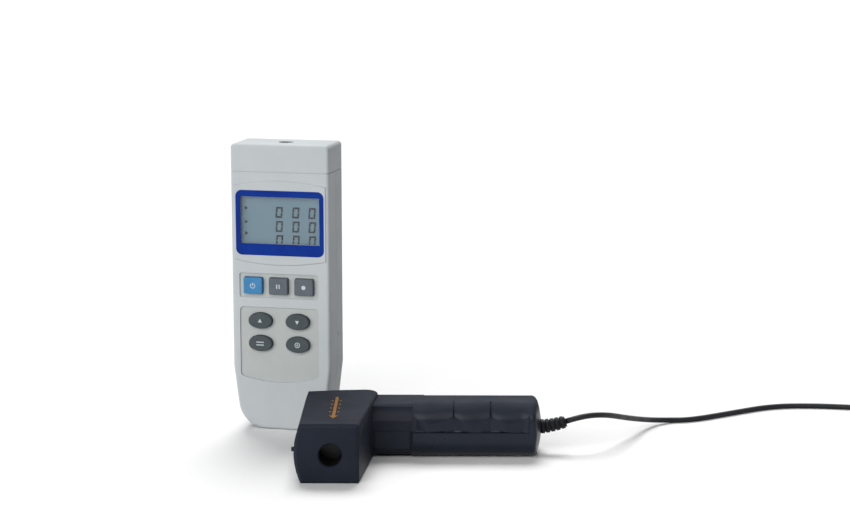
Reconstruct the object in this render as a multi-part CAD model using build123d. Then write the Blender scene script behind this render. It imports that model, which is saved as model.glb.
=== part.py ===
from build123d import *

import math
import os

# A hand-held color meter and its wired sensor head, in millimetres.
#
# The display unit stands upright on its base, its front face towards -Y, with the row origin
# at the centre of that base. The pistol-shaped sensor head lies on its side in front of it.
# Its cord runs back and to the right, and ends in a coil and a round plug.

# Display unit
METER_WIDTH = 70.6
METER_DEPTH = 36.0
METER_HEIGHT = 202.0
METER_EDGE = 2.2
BASE_NARROWING = 5.4
NARROWING_Z = 45.0
BASE_CORNER = 20.0
TOP_CORNER = 2.8
WALL = 2.4
PARTING_Y = 1.0
CAP_HEIGHT = 19.2
SEAM_WIDTH = 0.5
SEAM_DEPTH = 0.4
FACE_CLEARANCE = 0.05

# Display, from the printed frame down to the glass
PAD_HALF_WIDTH = 33.0
PAD_HEIGHT = 52.0
PAD_BULGE = 3.5
PAD_RISE = 0.8
DISPLAY_Z = 147.3
BEZEL_WIDTH = 63.4
BEZEL_HEIGHT = 45.5
BEZEL_THICKNESS = 1.2
BEZEL_RECESS = 0.2
BEZEL_CORNER = 4.5
WINDOW_WIDTH = 57.0
WINDOW_HEIGHT = 33.0
WINDOW_RISE = 1.8
LENS_MARGIN = 1.2
LENS_THICKNESS = 1.2
GLASS_MARGIN = 1.6
GLASS_THICKNESS = 2.2
HOLDER_WALL = 1.9
HOLDER_LIP = 0.8
CONTACT_STRIP_DEPTH = 2.4

# Keys
KEY_TRAVEL = 1.0
KEY_STAND = 2.2
KEY_CLEARANCE = 0.25
KEY_END_GAP = 0.3
KEY_FLANGE = 0.9
FLANGE_THICKNESS = 1.0
KEY_ROUND = 0.7
KEYS_X = -1.3
PANEL_DEPTH = 1.0
PANEL_HALF_WIDTH = 28.6
UPPER_PANEL_Z = 103.0
UPPER_PANEL_HEIGHT = 17.4
UPPER_PANEL_CORNER = 1.5
LOWER_PANEL_TOP = 87.7
LOWER_PANEL_SIDE = 38.2
LOWER_PANEL_SAG = 4.0
LOWER_PANEL_CORNER = 3.0
SQUARE_KEY_WIDTH = 13.6
SQUARE_KEY_HEIGHT = 11.6
SQUARE_KEY_CORNER = 1.2
SQUARE_KEY_PITCH = 18.4
OVAL_KEY_WIDTH = 17.0
OVAL_KEY_HEIGHT = 11.1
OVAL_KEY_END_RADIUS = 4.4
OVAL_KEY_X = 13.5
OVAL_KEY_UPPER_Z = 78.2
OVAL_KEY_PITCH = 16.2
MAT_THICKNESS = 0.9
MAT_MARGIN = 2.0

# Circuit board and screws
BOARD_THICKNESS = 1.6
BOARD_MARGIN = 1.0
BOARD_BOTTOM = 12.0
BOARD_TOP_GAP = 1.5
# Chips as x, z, width, height and thickness; capacitors as x, z, radius and height
CHIPS = [(0, 104, 14, 14, 1.8), (-17, 96, 8, 10, 1.6), (17, 112, 10, 6, 1.6), (14, 132, 6, 14, 2.4)]
CAPACITORS = [(-20, 132, 3.2, 5.0), (-20, 141, 3.2, 5.0), (22, 150, 5.0, 3.4)]
BOSS_X = 28.0
BOSS_LOW_Z = 25.0
BOSS_HIGH_Z = 118.0
BOSS_RADIUS = 3.4
SCREW_RADIUS = 1.2
SCREW_HEAD_RADIUS = 2.6
SCREW_HEAD_HEIGHT = 1.8
SCREW_CLEARANCE = 0.15
SCREW_SINK = 3.0
SCREW_BITE = 8.0
SCREW_SLOT_MARGIN = 0.8
SCREW_SLOT_WIDTH = 0.7

# Round socket in the cap
SOCKET_BORE_RADIUS = 4.7
SOCKET_WALL = 0.6
SOCKET_SINK = 0.6
SOCKET_DEPTH = 6.0
SOCKET_STEP = 0.4
SOCKET_LENGTH = 14.0
SOCKET_FLANGE_RADIUS = 7.0
SOCKET_FLANGE_HEIGHT = 1.4
CONTACT_RADIUS = 0.6
CONTACT_CIRCLE = 2.7
CONTACTS = 5
CONTACT_FIRST_TURN = 30.0
CONTACT_STEP = 60.0
CONTACT_DEPTH = 4.0

# Back: battery, its door, the tilt stand and the tripod insert
BATTERY_WIDTH = 26.5
BATTERY_HEIGHT = 46.0
BATTERY_DEPTH = 17.5
BATTERY_CORNER = 2.0
TERMINAL_RADIUS = 2.8
TERMINAL_HEIGHT = 2.4
TERMINAL_SPAN = 12.7
SNAP_THICKNESS = 2.6
BAY_CLEARANCE = 0.5
BAY_WALL = 1.8
SNAP_MARGIN = 2.5
DOOR_HALF_WIDTH = 17.5
DOOR_BOTTOM = 17.0
DOOR_HEIGHT = 60.0
DOOR_THICKNESS = 1.8
DOOR_GAP = 0.3
DOOR_RABBET = 2.0
HINGE_RIB = 1.5
DOOR_HINGE_RADIUS = 1.5
DOOR_STUB_RADIUS = 0.9
DOOR_STUB_LENGTH = 1.4
PIVOT_CLEARANCE = 0.08
DOOR_RIBS = 5
DOOR_RIB_PITCH = 2.2
DOOR_RIB_WIDTH = 1.2
DOOR_RIB_HALF_LENGTH = 6.0
DOOR_RIB_DEPTH = 0.6
DOOR_RIB_MARGIN = 6.0
DOOR_LIP_HEIGHT = 0.9
DOOR_LIP_LOW = 3.5
DOOR_LIP_HIGH = 2.0
STAND_HALF_WIDTH = 17.0
STAND_HINGE_Z = 138.0
STAND_LENGTH = 52.0
STAND_THICKNESS = 2.6
STAND_GAP = 0.5
STAND_LEG = 7.0
STAND_CORNER = 4.0
STAND_OPENING_CORNER = 3.0
STAND_PIN_RADIUS = 1.1
STAND_PIN_BITE = 2.4
STAND_BARREL_RADIUS = 2.2
TRIPOD_Z = 160.0
TRIPOD_RADIUS = 2.6
TRIPOD_OUTER = 4.6
TRIPOD_LENGTH = 9.0
TRIPOD_END_WALL = 1.0
ADJUSTER_HOLE_RADIUS = 1.0
ADJUSTER_Y = 4.0
ADJUSTER_Z = 66.5
ADJUSTER_RADIUS = 1.6
ADJUSTER_HEAD = 0.8
ADJUSTER_LENGTH = 3.0
ADJUSTER_SLOT = 0.5
TRIMMER_WIDTH = 8.0
TRIMMER_REACH = 6.5
TRIMMER_GAP = 0.5

# Sensor head, lying on its side: handle along +X, aperture towards -Y
PROBE_X = 52.5
PROBE_Y = -65.5
PROBE_TURN = 12.2
SPLIT_Z = 18.8
HEAD_THICKNESS = 39.0
HEAD_FRONT = -78.2
HEAD_REAR = 20.0
HEAD_REAR_BEND = (2.0, 17.5)
HEAD_REAR_LEFT = 12.5
HEAD_LEFT = -19.3
HEAD_CROWN = 4.2
HEAD_RIGHT_FRONT = 18.3
HEAD_RIGHT_REAR = 28.8
HEAD_REAR_CORNER = 9.0
HEAD_EDGE = 1.6
HEAD_REACH = 60.0
PROBE_WALL = 2.4
NOSE_THICKNESS = 2.5
NOSE_INSET = 0.3
NOSE_CHAMFER = 1.8
SIGHT_Y = -62.0
SIGHT_RADIUS = 1.5
SIGHT_HEIGHT = 2.4
THUMB_RIBS = 8
THUMB_RIB_RADIUS = 1.2
THUMB_RIB_RISE = 0.7
THUMB_RIB_PITCH = 3.3
THUMB_RIB_FIRST_X = -3.0
THUMB_RIB_NEAR = 3.0
THUMB_RIB_FAR = 15.0
NECK_HALF_DEPTH = 18.5
NECK_LOW = 2.2
NECK_HIGH = 36.5
NECK_SHOULDER = 5.0
# The neck's facets above the seam on the aperture's side, as y and z from the top down
NECK_FACETS = [(-12.0, 36.5), (-14.6, 35.2), (-14.9, 33.4), (-18.3, 26.2), (-17.4, 19.4), (-18.5, 19.0)]
NECK_WALL = 3.0
NECK_END = 59.0
NECK_SLOT_WIDTH = 1.4
NECK_SLOT_DEPTH = 1.5
GRIP_START = 51.0
GRIP_END = 129.6
GRIP_HALF_DEPTH = 21.5
GRIP_THICKNESS = 36.4
GRIP_CORNER = 13.0
GRIP_WALL = 3.0
GRIP_ROOM_START = 60.0
GRIP_START_ROUND = 1.2
# The slanted shoulder at the grip's start above the seam, as x past that start and z
GRIP_SHOULDER = [(0.0, 39.0), (0.6, 36.4), (4.6, 25.0), (1.2, 19.05)]
GRIP_SHOULDER_DEPTH = 6.0
GRIP_RIDGES = (79.2, 103.8)
GRIP_BULGE = 1.3
GRIP_LINE_WIDTH = 0.6
GRIP_LINE_DEPTH = 0.5
END_CAP_LENGTH = 8.5
END_CAP_DOME = 56.0
END_CAP_ROUND = 3.0
END_CAP_FLOOR = 6.0
END_CAP_SPIGOT = 4.0
END_CAP_WALL = 2.0
APERTURE_RADIUS = 7.45
APERTURE_CHAMFER = 0.8
APERTURE_WALL = 1.6
APERTURE_DEPTH = 16.0
OPTIC_RADIUS = 8.4
OPTIC_THICKNESS = 1.5
SENSOR_BOARD_GAP = 8.0
SENSOR_SIZE = 5.0
SENSOR_THICKNESS = 1.4
LAMP_RADIUS = 1.5
LAMP_LENGTH = 3.0
LAMP_CIRCLE = 5.6
LAMPS = 4
PROBE_POSTS = [(9.0, -36.0), (-8.0, 5.0), (66.0, 0.0), (119.0, 0.0)]
PROBE_POST_RADIUS = 3.4

# Cord, from the strain relief to the plug
CORD_DIAMETER = 3.8
RELIEF_LENGTH = 17.0
RELIEF_DROP = 0.8
RELIEF_RISE = 12.0
RELIEF_BASE_RADIUS = 4.8
RELIEF_NECK_RADIUS = 4.2
RELIEF_OVERLAP = 1.5
RELIEF_SET_BACK = 0.4
RELIEF_TIP_RADIUS = 4.0
RELIEF_GROOVES = 4
RELIEF_GROOVE_WIDTH = 1.3
RELIEF_GROOVE_DEPTH = 0.9
RELIEF_FLANGE_RADIUS = 6.5
RELIEF_FLANGE_LENGTH = 2.0
CORD_FIRST_RUN = 12.0
BEND_SHARE = 0.45
COIL_X = 424.0
COIL_Y = 157.0
COIL_RADIUS = 27.5
COIL_PITCH = 4.4
COIL_LAYER = 4.3
COIL_QUARTERS = 21
COIL_REVERSAL = 11
COIL_CLIMB = (10, 12)
COIL_SIDES = 8
COIL_TAIL = 11.0
PLUG_BOOT_LENGTH = 13.0
PLUG_BOOT_RADIUS = 2.4
PLUG_GRIP_LENGTH = 16.0
PLUG_GRIP_FLUTES = 12
PLUG_FLUTE_RADIUS = 0.8
PLUG_FLUTE_OFFSET = 0.3
PLUG_FLUTE_START = 2.5
PLUG_FLUTE_END = 4.0
PLUG_GRIP_CHAMFER = 0.8
PLUG_BOOT_END_STEP = 1.2
PLUG_SHELL_LENGTH = 8.5
PLUG_SHELL_CLEARANCE = 0.1
PLUG_SHELL_WALL = 0.5
PLUG_PIN_RADIUS = 0.5
PLUG_PIN_LENGTH = 6.0

# Places that several pieces share, worked out from the sizes above
FRONT_Y = -METER_DEPTH / 2
BACK_Y = METER_DEPTH / 2
INNER_FRONT_Y = FRONT_Y + WALL
CAP_Z = METER_HEIGHT - CAP_HEIGHT
PAD_Y = FRONT_Y - PAD_RISE
BEZEL_Y = PAD_Y + BEZEL_RECESS
LENS_Y = BEZEL_Y + BEZEL_THICKNESS
GLASS_Y = INNER_FRONT_Y + HOLDER_LIP
WINDOW_Z = DISPLAY_Z + WINDOW_RISE
PANEL_Y = FRONT_Y + PANEL_DEPTH
PANEL_INNER_Y = PANEL_Y + WALL
KEY_FACE_Y = FRONT_Y - KEY_STAND
FLANGE_Y = PANEL_INNER_Y + FACE_CLEARANCE
MAT_Y = FLANGE_Y + FLANGE_THICKNESS + KEY_TRAVEL + KEY_END_GAP
BOARD_Y = MAT_Y + MAT_THICKNESS
BOARD_BACK_Y = BOARD_Y + BOARD_THICKNESS
DOOR_FRONT_Y = BACK_Y - DOOR_THICKNESS
DOOR_AXIS_Y = BACK_Y - DOOR_HINGE_RADIUS
BAY_HALF_WIDTH = BATTERY_WIDTH / 2 + BAY_CLEARANCE
BAY_TOP = DOOR_BOTTOM + DOOR_HEIGHT - DOOR_RABBET
BAY_BOTTOM = DOOR_BOTTOM + 2 * DOOR_HINGE_RADIUS + HINGE_RIB
BAY_FLOOR_Y = DOOR_FRONT_Y - BATTERY_DEPTH - BAY_CLEARANCE
STAND_AXIS_Y = BACK_Y - STAND_THICKNESS / 2
STAND_FLOOR_Y = BACK_Y - STAND_THICKNESS / 2 - STAND_BARREL_RADIUS - STAND_GAP
TRIMMER_FACE = METER_WIDTH / 2 - WALL - TRIMMER_GAP - ADJUSTER_HEAD
MID_Z = SPLIT_Z
RELIEF_Z = MID_Z - RELIEF_DROP
SHELL_FRONT = HEAD_FRONT + NOSE_THICKNESS
OPTIC_Y = SHELL_FRONT + APERTURE_DEPTH
SENSOR_BOARD_Y = OPTIC_Y + SENSOR_BOARD_GAP
PROBE_END = GRIP_END + END_CAP_LENGTH
CORD_Z = CORD_DIAMETER / 2
PLUG_RADIUS = CORD_Z + COIL_LAYER
PROBE_PLACE = Location((PROBE_X, PROBE_Y, 0), (0, 0, PROBE_TURN))


def block(x0, x1, y0, y1, z0, z1):
    """A box between two corners."""
    middle = Pos((x0 + x1) / 2, (y0 + y1) / 2, (z0 + z1) / 2)
    return middle * Box(x1 - x0, y1 - y0, z1 - z0)


def seen_from_front(outline, y_near, y_far):
    """An outline drawn in X and Z, made solid from y_near to y_far."""
    return extrude(Plane.XZ.offset(-y_far) * outline, amount=y_far - y_near)


def seen_along_handle(outline, x_near, x_far):
    """An outline drawn in Y and Z, made solid from x_near to x_far."""
    return extrude(Plane.YZ.offset(x_near) * outline, amount=x_far - x_near)


def rod_y(x, z, radius, y_near, y_far):
    """A round bar along Y."""
    return seen_from_front(Pos(x, z) * Circle(radius), y_near, y_far)


def rod_x(y, z, radius, x_near, x_far):
    """A round bar along X."""
    return seen_along_handle(Pos(y, z) * Circle(radius), x_near, x_far)


def rod_z(x, y, radius, z_low, z_high):
    """A round bar along Z."""
    return Pos(x, y, z_low) * extrude(Circle(radius), amount=z_high - z_low)


def joined(shapes):
    """Several solids fused into one shape."""
    whole = shapes[0]
    for shape in shapes[1:]:
        whole = whole + shape
    return whole


# Display unit: housing

def meter_outline(inset=0.0):
    """The front view of the display unit, narrower towards its base, inset from its outer edge."""
    half = METER_WIDTH / 2
    foot = half - BASE_NARROWING
    outline = Polygon(
        (-foot, 0), (foot, 0), (half, NARROWING_Z), (half, METER_HEIGHT), (-half, METER_HEIGHT),
        (-half, NARROWING_Z), align=None,
    )
    outline = fillet(outline.vertices().group_by(Axis.Y)[0], BASE_CORNER)
    outline = fillet(outline.vertices().group_by(Axis.Y)[-1], TOP_CORNER)
    return offset(outline, -inset) if inset else outline


def meter_body():
    """The whole outer form of the display unit, with its front and back edges rounded."""
    body = seen_from_front(meter_outline(), FRONT_Y, BACK_Y)
    faces = body.faces().sort_by(Axis.Y)
    return fillet(faces[0].edges() + faces[-1].edges(), METER_EDGE)


def meter_cavity(y_near, y_far, z_top):
    """The room inside the walls, up to z_top."""
    room = seen_from_front(meter_outline(WALL), y_near, y_far)
    return room & block(-METER_WIDTH, METER_WIDTH, y_near, y_far, 0, z_top)


def parting_groove():
    """The shadow line where the front and rear shells meet."""
    near, far = PARTING_Y - SEAM_WIDTH / 2, PARTING_Y + SEAM_WIDTH / 2
    ring = seen_from_front(meter_outline(-1), near, far)
    ring = ring - seen_from_front(meter_outline(SEAM_DEPTH), near, far)
    return ring & block(-METER_WIDTH, METER_WIDTH, near, far, -2, CAP_Z)


def cap_groove():
    """The shadow line round the foot of the cap."""
    low, high = CAP_Z - SEAM_WIDTH / 2, CAP_Z + SEAM_WIDTH / 2
    core = RectangleRounded(METER_WIDTH - 2 * SEAM_DEPTH, METER_DEPTH - 2 * SEAM_DEPTH, METER_EDGE)
    ring = Rectangle(METER_WIDTH + 2, METER_DEPTH + 2) - core
    return Pos(0, 0, low) * extrude(ring, amount=high - low)


def boss_places():
    """The four places, in X and Z, where screws hold the shells together."""
    return [(side * BOSS_X, z) for z in (BOSS_LOW_Z, BOSS_HIGH_Z) for side in (-1, 1)]


def display_pad():
    """The raised field round the display, whose upper and lower edges are arcs."""
    low, high = DISPLAY_Z - PAD_HEIGHT / 2, DISPLAY_Z + PAD_HEIGHT / 2
    edges = [
        Line((-PAD_HALF_WIDTH, high), (-PAD_HALF_WIDTH, low)),
        ThreePointArc((-PAD_HALF_WIDTH, low), (0, low - PAD_BULGE), (PAD_HALF_WIDTH, low)),
        Line((PAD_HALF_WIDTH, low), (PAD_HALF_WIDTH, high)),
        ThreePointArc((PAD_HALF_WIDTH, high), (0, high + PAD_BULGE), (-PAD_HALF_WIDTH, high)),
    ]
    pad = seen_from_front(make_face(edges), PAD_Y, FRONT_Y + WALL / 2)
    return chamfer(pad.faces().sort_by(Axis.Y)[0].edges(), PAD_RISE / 2)


def bezel_outline(grow=0.0):
    return Pos(0, DISPLAY_Z) * RectangleRounded(BEZEL_WIDTH + grow, BEZEL_HEIGHT + grow, BEZEL_CORNER)


def window_outline(grow=0.0):
    return Pos(0, WINDOW_Z) * Rectangle(WINDOW_WIDTH + 2 * grow, WINDOW_HEIGHT + 2 * grow)


def upper_panel_outline():
    panel = RectangleRounded(2 * PANEL_HALF_WIDTH, UPPER_PANEL_HEIGHT, UPPER_PANEL_CORNER)
    return Pos(KEYS_X, UPPER_PANEL_Z) * panel


def lower_panel_outline():
    """The field of the oval keys, with an arc for its lower edge."""
    side, low = PANEL_HALF_WIDTH, LOWER_PANEL_SIDE
    edges = [
        Line((-side, LOWER_PANEL_TOP), (-side, low)),
        ThreePointArc((-side, low), (0, low - LOWER_PANEL_SAG), (side, low)),
        Line((side, low), (side, LOWER_PANEL_TOP)),
        Line((side, LOWER_PANEL_TOP), (-side, LOWER_PANEL_TOP)),
    ]
    outline = make_face(edges)
    return Pos(KEYS_X, 0) * fillet(outline.vertices(), LOWER_PANEL_CORNER)


def square_key_outline(grow=0.0):
    return RectangleRounded(SQUARE_KEY_WIDTH + 2 * grow, SQUARE_KEY_HEIGHT + 2 * grow, SQUARE_KEY_CORNER)


def oval_key_outline(grow=0.0):
    """An oval of four tangent arcs, grown evenly all round."""
    end_radius = OVAL_KEY_END_RADIUS
    end_x = OVAL_KEY_WIDTH / 2 - end_radius
    rest = OVAL_KEY_HEIGHT / 2 - end_radius
    drop = (end_x**2 - rest**2) / (2 * rest)
    share = (end_radius + grow) / math.hypot(end_x, drop)
    join_x, join_y = end_x + end_x * share, drop * share
    high, far = OVAL_KEY_HEIGHT / 2 + grow, OVAL_KEY_WIDTH / 2 + grow
    edges = [
        ThreePointArc((-join_x, join_y), (0, high), (join_x, join_y)),
        ThreePointArc((join_x, join_y), (far, 0), (join_x, -join_y)),
        ThreePointArc((join_x, -join_y), (0, -high), (-join_x, -join_y)),
        ThreePointArc((-join_x, -join_y), (-far, 0), (-join_x, join_y)),
    ]
    return make_face(edges)


def key_table():
    """Each key's name, its place in X and Z, and the outline that it shares with its hole."""
    left, right = KEYS_X - OVAL_KEY_X, KEYS_X + OVAL_KEY_X
    lower_z = OVAL_KEY_UPPER_Z - OVAL_KEY_PITCH
    return [
        ("power_key", KEYS_X - SQUARE_KEY_PITCH, UPPER_PANEL_Z, square_key_outline),
        ("hold_key", KEYS_X, UPPER_PANEL_Z, square_key_outline),
        ("record_key", KEYS_X + SQUARE_KEY_PITCH, UPPER_PANEL_Z, square_key_outline),
        ("upper_left_key", left, OVAL_KEY_UPPER_Z, oval_key_outline),
        ("upper_right_key", right, OVAL_KEY_UPPER_Z, oval_key_outline),
        ("lower_left_key", left, lower_z, oval_key_outline),
        ("lower_right_key", right, lower_z, oval_key_outline),
    ]


def front_shell():
    """The front half of the housing, with the display opening, key holes and screw bosses."""
    shell = meter_body() & block(-METER_WIDTH, METER_WIDTH, FRONT_Y, PARTING_Y, 0, CAP_Z)
    shell = shell - meter_cavity(INNER_FRONT_Y, PARTING_Y, CAP_Z)
    # The wall is kept whole behind the two sunk key fields
    for outline in (upper_panel_outline(), lower_panel_outline()):
        shell = shell + seen_from_front(outline, INNER_FRONT_Y, PANEL_INNER_Y)
    for x, z in boss_places():
        shell = shell + rod_y(x, z, BOSS_RADIUS, INNER_FRONT_Y, PARTING_Y)
    shell = shell + display_pad()
    shell = shell - seen_from_front(bezel_outline(2 * FACE_CLEARANCE), PAD_Y - 1, LENS_Y)
    seat = window_outline(LENS_MARGIN + FACE_CLEARANCE)
    shell = shell - seen_from_front(seat, LENS_Y, LENS_Y + LENS_THICKNESS)
    shell = shell - seen_from_front(window_outline(), LENS_Y, INNER_FRONT_Y)
    for outline in (upper_panel_outline(), lower_panel_outline()):
        shell = shell - seen_from_front(outline, PAD_Y, PANEL_Y)
    for name, x, z, outline in key_table():
        hole = Pos(x, z) * outline(KEY_CLEARANCE)
        shell = shell - seen_from_front(hole, PAD_Y, PANEL_INNER_Y)
    for x, z in boss_places():
        pilot = SCREW_RADIUS + FACE_CLEARANCE
        shell = shell - rod_y(x, z, pilot, PARTING_Y - SCREW_BITE - 1, PARTING_Y)
    return shell - parting_groove() - cap_groove()


def bay_walls():
    """The box inside the rear shell that holds the battery."""
    half = BAY_HALF_WIDTH + BAY_WALL
    return block(-half, half, BAY_FLOOR_Y - BAY_WALL, DOOR_FRONT_Y, BAY_BOTTOM - BAY_WALL, BAY_TOP + BAY_WALL)


def stand_recess():
    """The sunk field that the folded tilt stand lies in."""
    half = STAND_HALF_WIDTH + STAND_GAP
    low = STAND_HINGE_Z - STAND_LENGTH - STAND_GAP
    high = STAND_HINGE_Z + STAND_BARREL_RADIUS + STAND_GAP
    finger = rod_y(0, low, STAND_LEG, STAND_FLOOR_Y, BACK_Y + 1)
    return block(-half, half, STAND_FLOOR_Y, BACK_Y + 1, low, high) + finger


def rear_shell():
    """The rear half of the housing, with the battery bay, stand recess and tripod boss."""
    shell = meter_body() & block(-METER_WIDTH, METER_WIDTH, PARTING_Y, BACK_Y, 0, CAP_Z)
    shell = shell - meter_cavity(PARTING_Y, BACK_Y - WALL, CAP_Z)
    shell = shell + bay_walls()
    half = STAND_HALF_WIDTH + STAND_GAP + WALL
    low = STAND_HINGE_Z - STAND_LENGTH - STAND_LEG - WALL
    high = STAND_HINGE_Z + STAND_BARREL_RADIUS + STAND_GAP + WALL
    shell = shell + block(-half, half, STAND_FLOOR_Y - WALL, BACK_Y - WALL, low, high)
    shell = shell + rod_y(0, TRIPOD_Z, TRIPOD_OUTER + WALL, BACK_Y - TRIPOD_LENGTH - WALL, BACK_Y - WALL)
    for x, z in boss_places():
        shell = shell + rod_y(x, z, BOSS_RADIUS, PARTING_Y, BACK_Y - WALL)
    # Battery bay, and the step that the door lies in
    half = BAY_HALF_WIDTH
    shell = shell - block(-half, half, BAY_FLOOR_Y, BACK_Y + 1, BAY_BOTTOM, BAY_TOP)
    half = DOOR_HALF_WIDTH + DOOR_GAP
    shell = shell - block(
        -half, half, DOOR_FRONT_Y, BACK_Y + 1, DOOR_BOTTOM - DOOR_GAP, DOOR_BOTTOM + DOOR_HEIGHT + DOOR_GAP
    )
    turn_room = DOOR_HINGE_RADIUS + DOOR_GAP
    hinge_z = DOOR_BOTTOM + DOOR_HINGE_RADIUS
    shell = shell - rod_x(DOOR_AXIS_Y, hinge_z, turn_room, -half, half)
    reach = DOOR_HALF_WIDTH + DOOR_STUB_LENGTH + DOOR_GAP
    shell = shell - rod_x(DOOR_AXIS_Y, hinge_z, DOOR_STUB_RADIUS + PIVOT_CLEARANCE, -reach, reach)
    shell = shell - stand_recess()
    reach = STAND_HALF_WIDTH + STAND_GAP + STAND_PIN_BITE
    shell = shell - rod_x(STAND_AXIS_Y, STAND_HINGE_Z, STAND_PIN_RADIUS, -reach, reach)
    shell = shell - rod_y(0, TRIPOD_Z, TRIPOD_OUTER, BACK_Y - TRIPOD_LENGTH, BACK_Y + 1)
    for x, z in boss_places():
        shell = shell - rod_y(x, z, SCREW_RADIUS + SCREW_CLEARANCE, PARTING_Y, BACK_Y)
        shell = shell - rod_y(
            x, z, SCREW_HEAD_RADIUS + SCREW_CLEARANCE, BACK_Y - SCREW_SINK - SCREW_HEAD_HEIGHT, BACK_Y + 1
        )
    side = METER_WIDTH / 2
    shell = shell - rod_x(ADJUSTER_Y, ADJUSTER_Z, ADJUSTER_HOLE_RADIUS, side - 2 * WALL, side + 1)
    return shell - parting_groove() - cap_groove()


def top_cap():
    """The cap that closes the housing and carries the round socket."""
    cap = meter_body() & block(-METER_WIDTH, METER_WIDTH, FRONT_Y, BACK_Y, CAP_Z, METER_HEIGHT)
    cap = cap - meter_cavity(INNER_FRONT_Y, BACK_Y - WALL, METER_HEIGHT - WALL)
    cap = cap - rod_z(0, 0, SOCKET_BORE_RADIUS + SOCKET_WALL + FACE_CLEARANCE, CAP_Z, METER_HEIGHT + 1)
    return cap - cap_groove()


# Display unit: display and keys

def display_bezel():
    """The printed frame round the display window."""
    frame = bezel_outline() - window_outline()
    return seen_from_front(frame, BEZEL_Y, LENS_Y)


def display_lens():
    return seen_from_front(window_outline(LENS_MARGIN), LENS_Y, LENS_Y + LENS_THICKNESS)


def lcd_glass():
    return seen_from_front(window_outline(GLASS_MARGIN), GLASS_Y, GLASS_Y + GLASS_THICKNESS)


def lcd_holder():
    """The frame that clips the glass to the circuit board."""
    rim = window_outline(GLASS_MARGIN + HOLDER_WALL)
    holder = seen_from_front(rim, INNER_FRONT_Y, BOARD_Y)
    holder = holder - seen_from_front(window_outline(), INNER_FRONT_Y, BOARD_Y)
    return holder - seen_from_front(window_outline(GLASS_MARGIN + FACE_CLEARANCE), GLASS_Y, BOARD_Y)


def contact_strips():
    """The two rubber strips that join the glass to the board."""
    reach = WINDOW_HEIGHT / 2 + GLASS_MARGIN - CONTACT_STRIP_DEPTH / 2
    strips = []
    for side in (-1, 1):
        z = WINDOW_Z + side * reach
        low, high = z - CONTACT_STRIP_DEPTH / 2, z + CONTACT_STRIP_DEPTH / 2
        half = WINDOW_WIDTH / 2
        strips.append(block(-half, half, GLASS_Y + GLASS_THICKNESS, BOARD_Y, low, high))
    return Compound(children=strips)


def key(x, z, outline):
    """One key: a cap that stands out of the front, and a flange behind the wall."""
    cap = seen_from_front(Pos(x, z) * outline(), KEY_FACE_Y, FLANGE_Y)
    cap = fillet(cap.faces().sort_by(Axis.Y)[0].edges(), KEY_ROUND)
    return cap + seen_from_front(Pos(x, z) * outline(KEY_FLANGE), FLANGE_Y, FLANGE_Y + FLANGE_THICKNESS)


def keypad_mat():
    """The rubber mat behind the keys, cut clear of the screw bosses."""
    half = PANEL_HALF_WIDTH + MAT_MARGIN
    low, high = LOWER_PANEL_SIDE, UPPER_PANEL_Z + UPPER_PANEL_HEIGHT / 2 + MAT_MARGIN
    mat = block(KEYS_X - half, KEYS_X + half, MAT_Y, BOARD_Y, low, high)
    for x, z in boss_places():
        mat = mat - rod_y(x, z, BOSS_RADIUS + 1, MAT_Y, BOARD_Y)
    return mat


def main_board():
    """The circuit board, cut clear of the screw bosses and rounded like the housing."""
    board = seen_from_front(meter_outline(WALL + BOARD_MARGIN), BOARD_Y, BOARD_BACK_Y)
    board = board & block(
        -METER_WIDTH, METER_WIDTH, BOARD_Y, BOARD_BACK_Y, BOARD_BOTTOM, CAP_Z - BOARD_TOP_GAP
    )
    for x, z in boss_places():
        board = board - rod_y(x, z, BOSS_RADIUS + SCREW_CLEARANCE, BOARD_Y, BOARD_BACK_Y)
    return board


def board_components():
    """The larger parts soldered to the back of the board, each a solid of its own."""
    back = BOARD_BACK_Y
    parts = []
    for x, z, width, height, tall in CHIPS:
        w, h = width / 2, height / 2
        parts.append(block(x - w, x + w, back, back + tall, z - h, z + h))
    for x, z, radius, tall in CAPACITORS:
        parts.append(rod_y(x, z, radius, back, back + tall))
    return Compound(children=parts)


# Display unit: socket, battery and what opens at the back

def socket_shell():
    """The metal barrel of the round socket, with its collar under the cap."""
    top = METER_HEIGHT - SOCKET_SINK
    outer = SOCKET_BORE_RADIUS + SOCKET_WALL
    shell = rod_z(0, 0, outer, top - SOCKET_LENGTH, top)
    under = METER_HEIGHT - WALL
    shell = shell + rod_z(0, 0, SOCKET_FLANGE_RADIUS, under - SOCKET_FLANGE_HEIGHT, under)
    shell = shell - rod_z(0, 0, SOCKET_BORE_RADIUS, top - SOCKET_DEPTH, top)
    return shell - rod_z(0, 0, SOCKET_BORE_RADIUS - SOCKET_STEP, top - SOCKET_LENGTH, top)


def contact_places():
    """The contacts' places round the axis of the socket and of the plug."""
    angles = [math.radians(CONTACT_FIRST_TURN + n * CONTACT_STEP) for n in range(CONTACTS)]
    return [(CONTACT_CIRCLE * math.cos(a), CONTACT_CIRCLE * math.sin(a)) for a in angles]


def socket_insert():
    """The insulator at the bottom of the socket, with its ring of contact holes."""
    top = METER_HEIGHT - SOCKET_SINK
    face = top - SOCKET_DEPTH
    insert = rod_z(0, 0, SOCKET_BORE_RADIUS - SOCKET_STEP, top - SOCKET_LENGTH, face)
    for x, y in contact_places():
        insert = insert - rod_z(x, y, CONTACT_RADIUS, face - CONTACT_DEPTH, face)
    return insert


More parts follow.
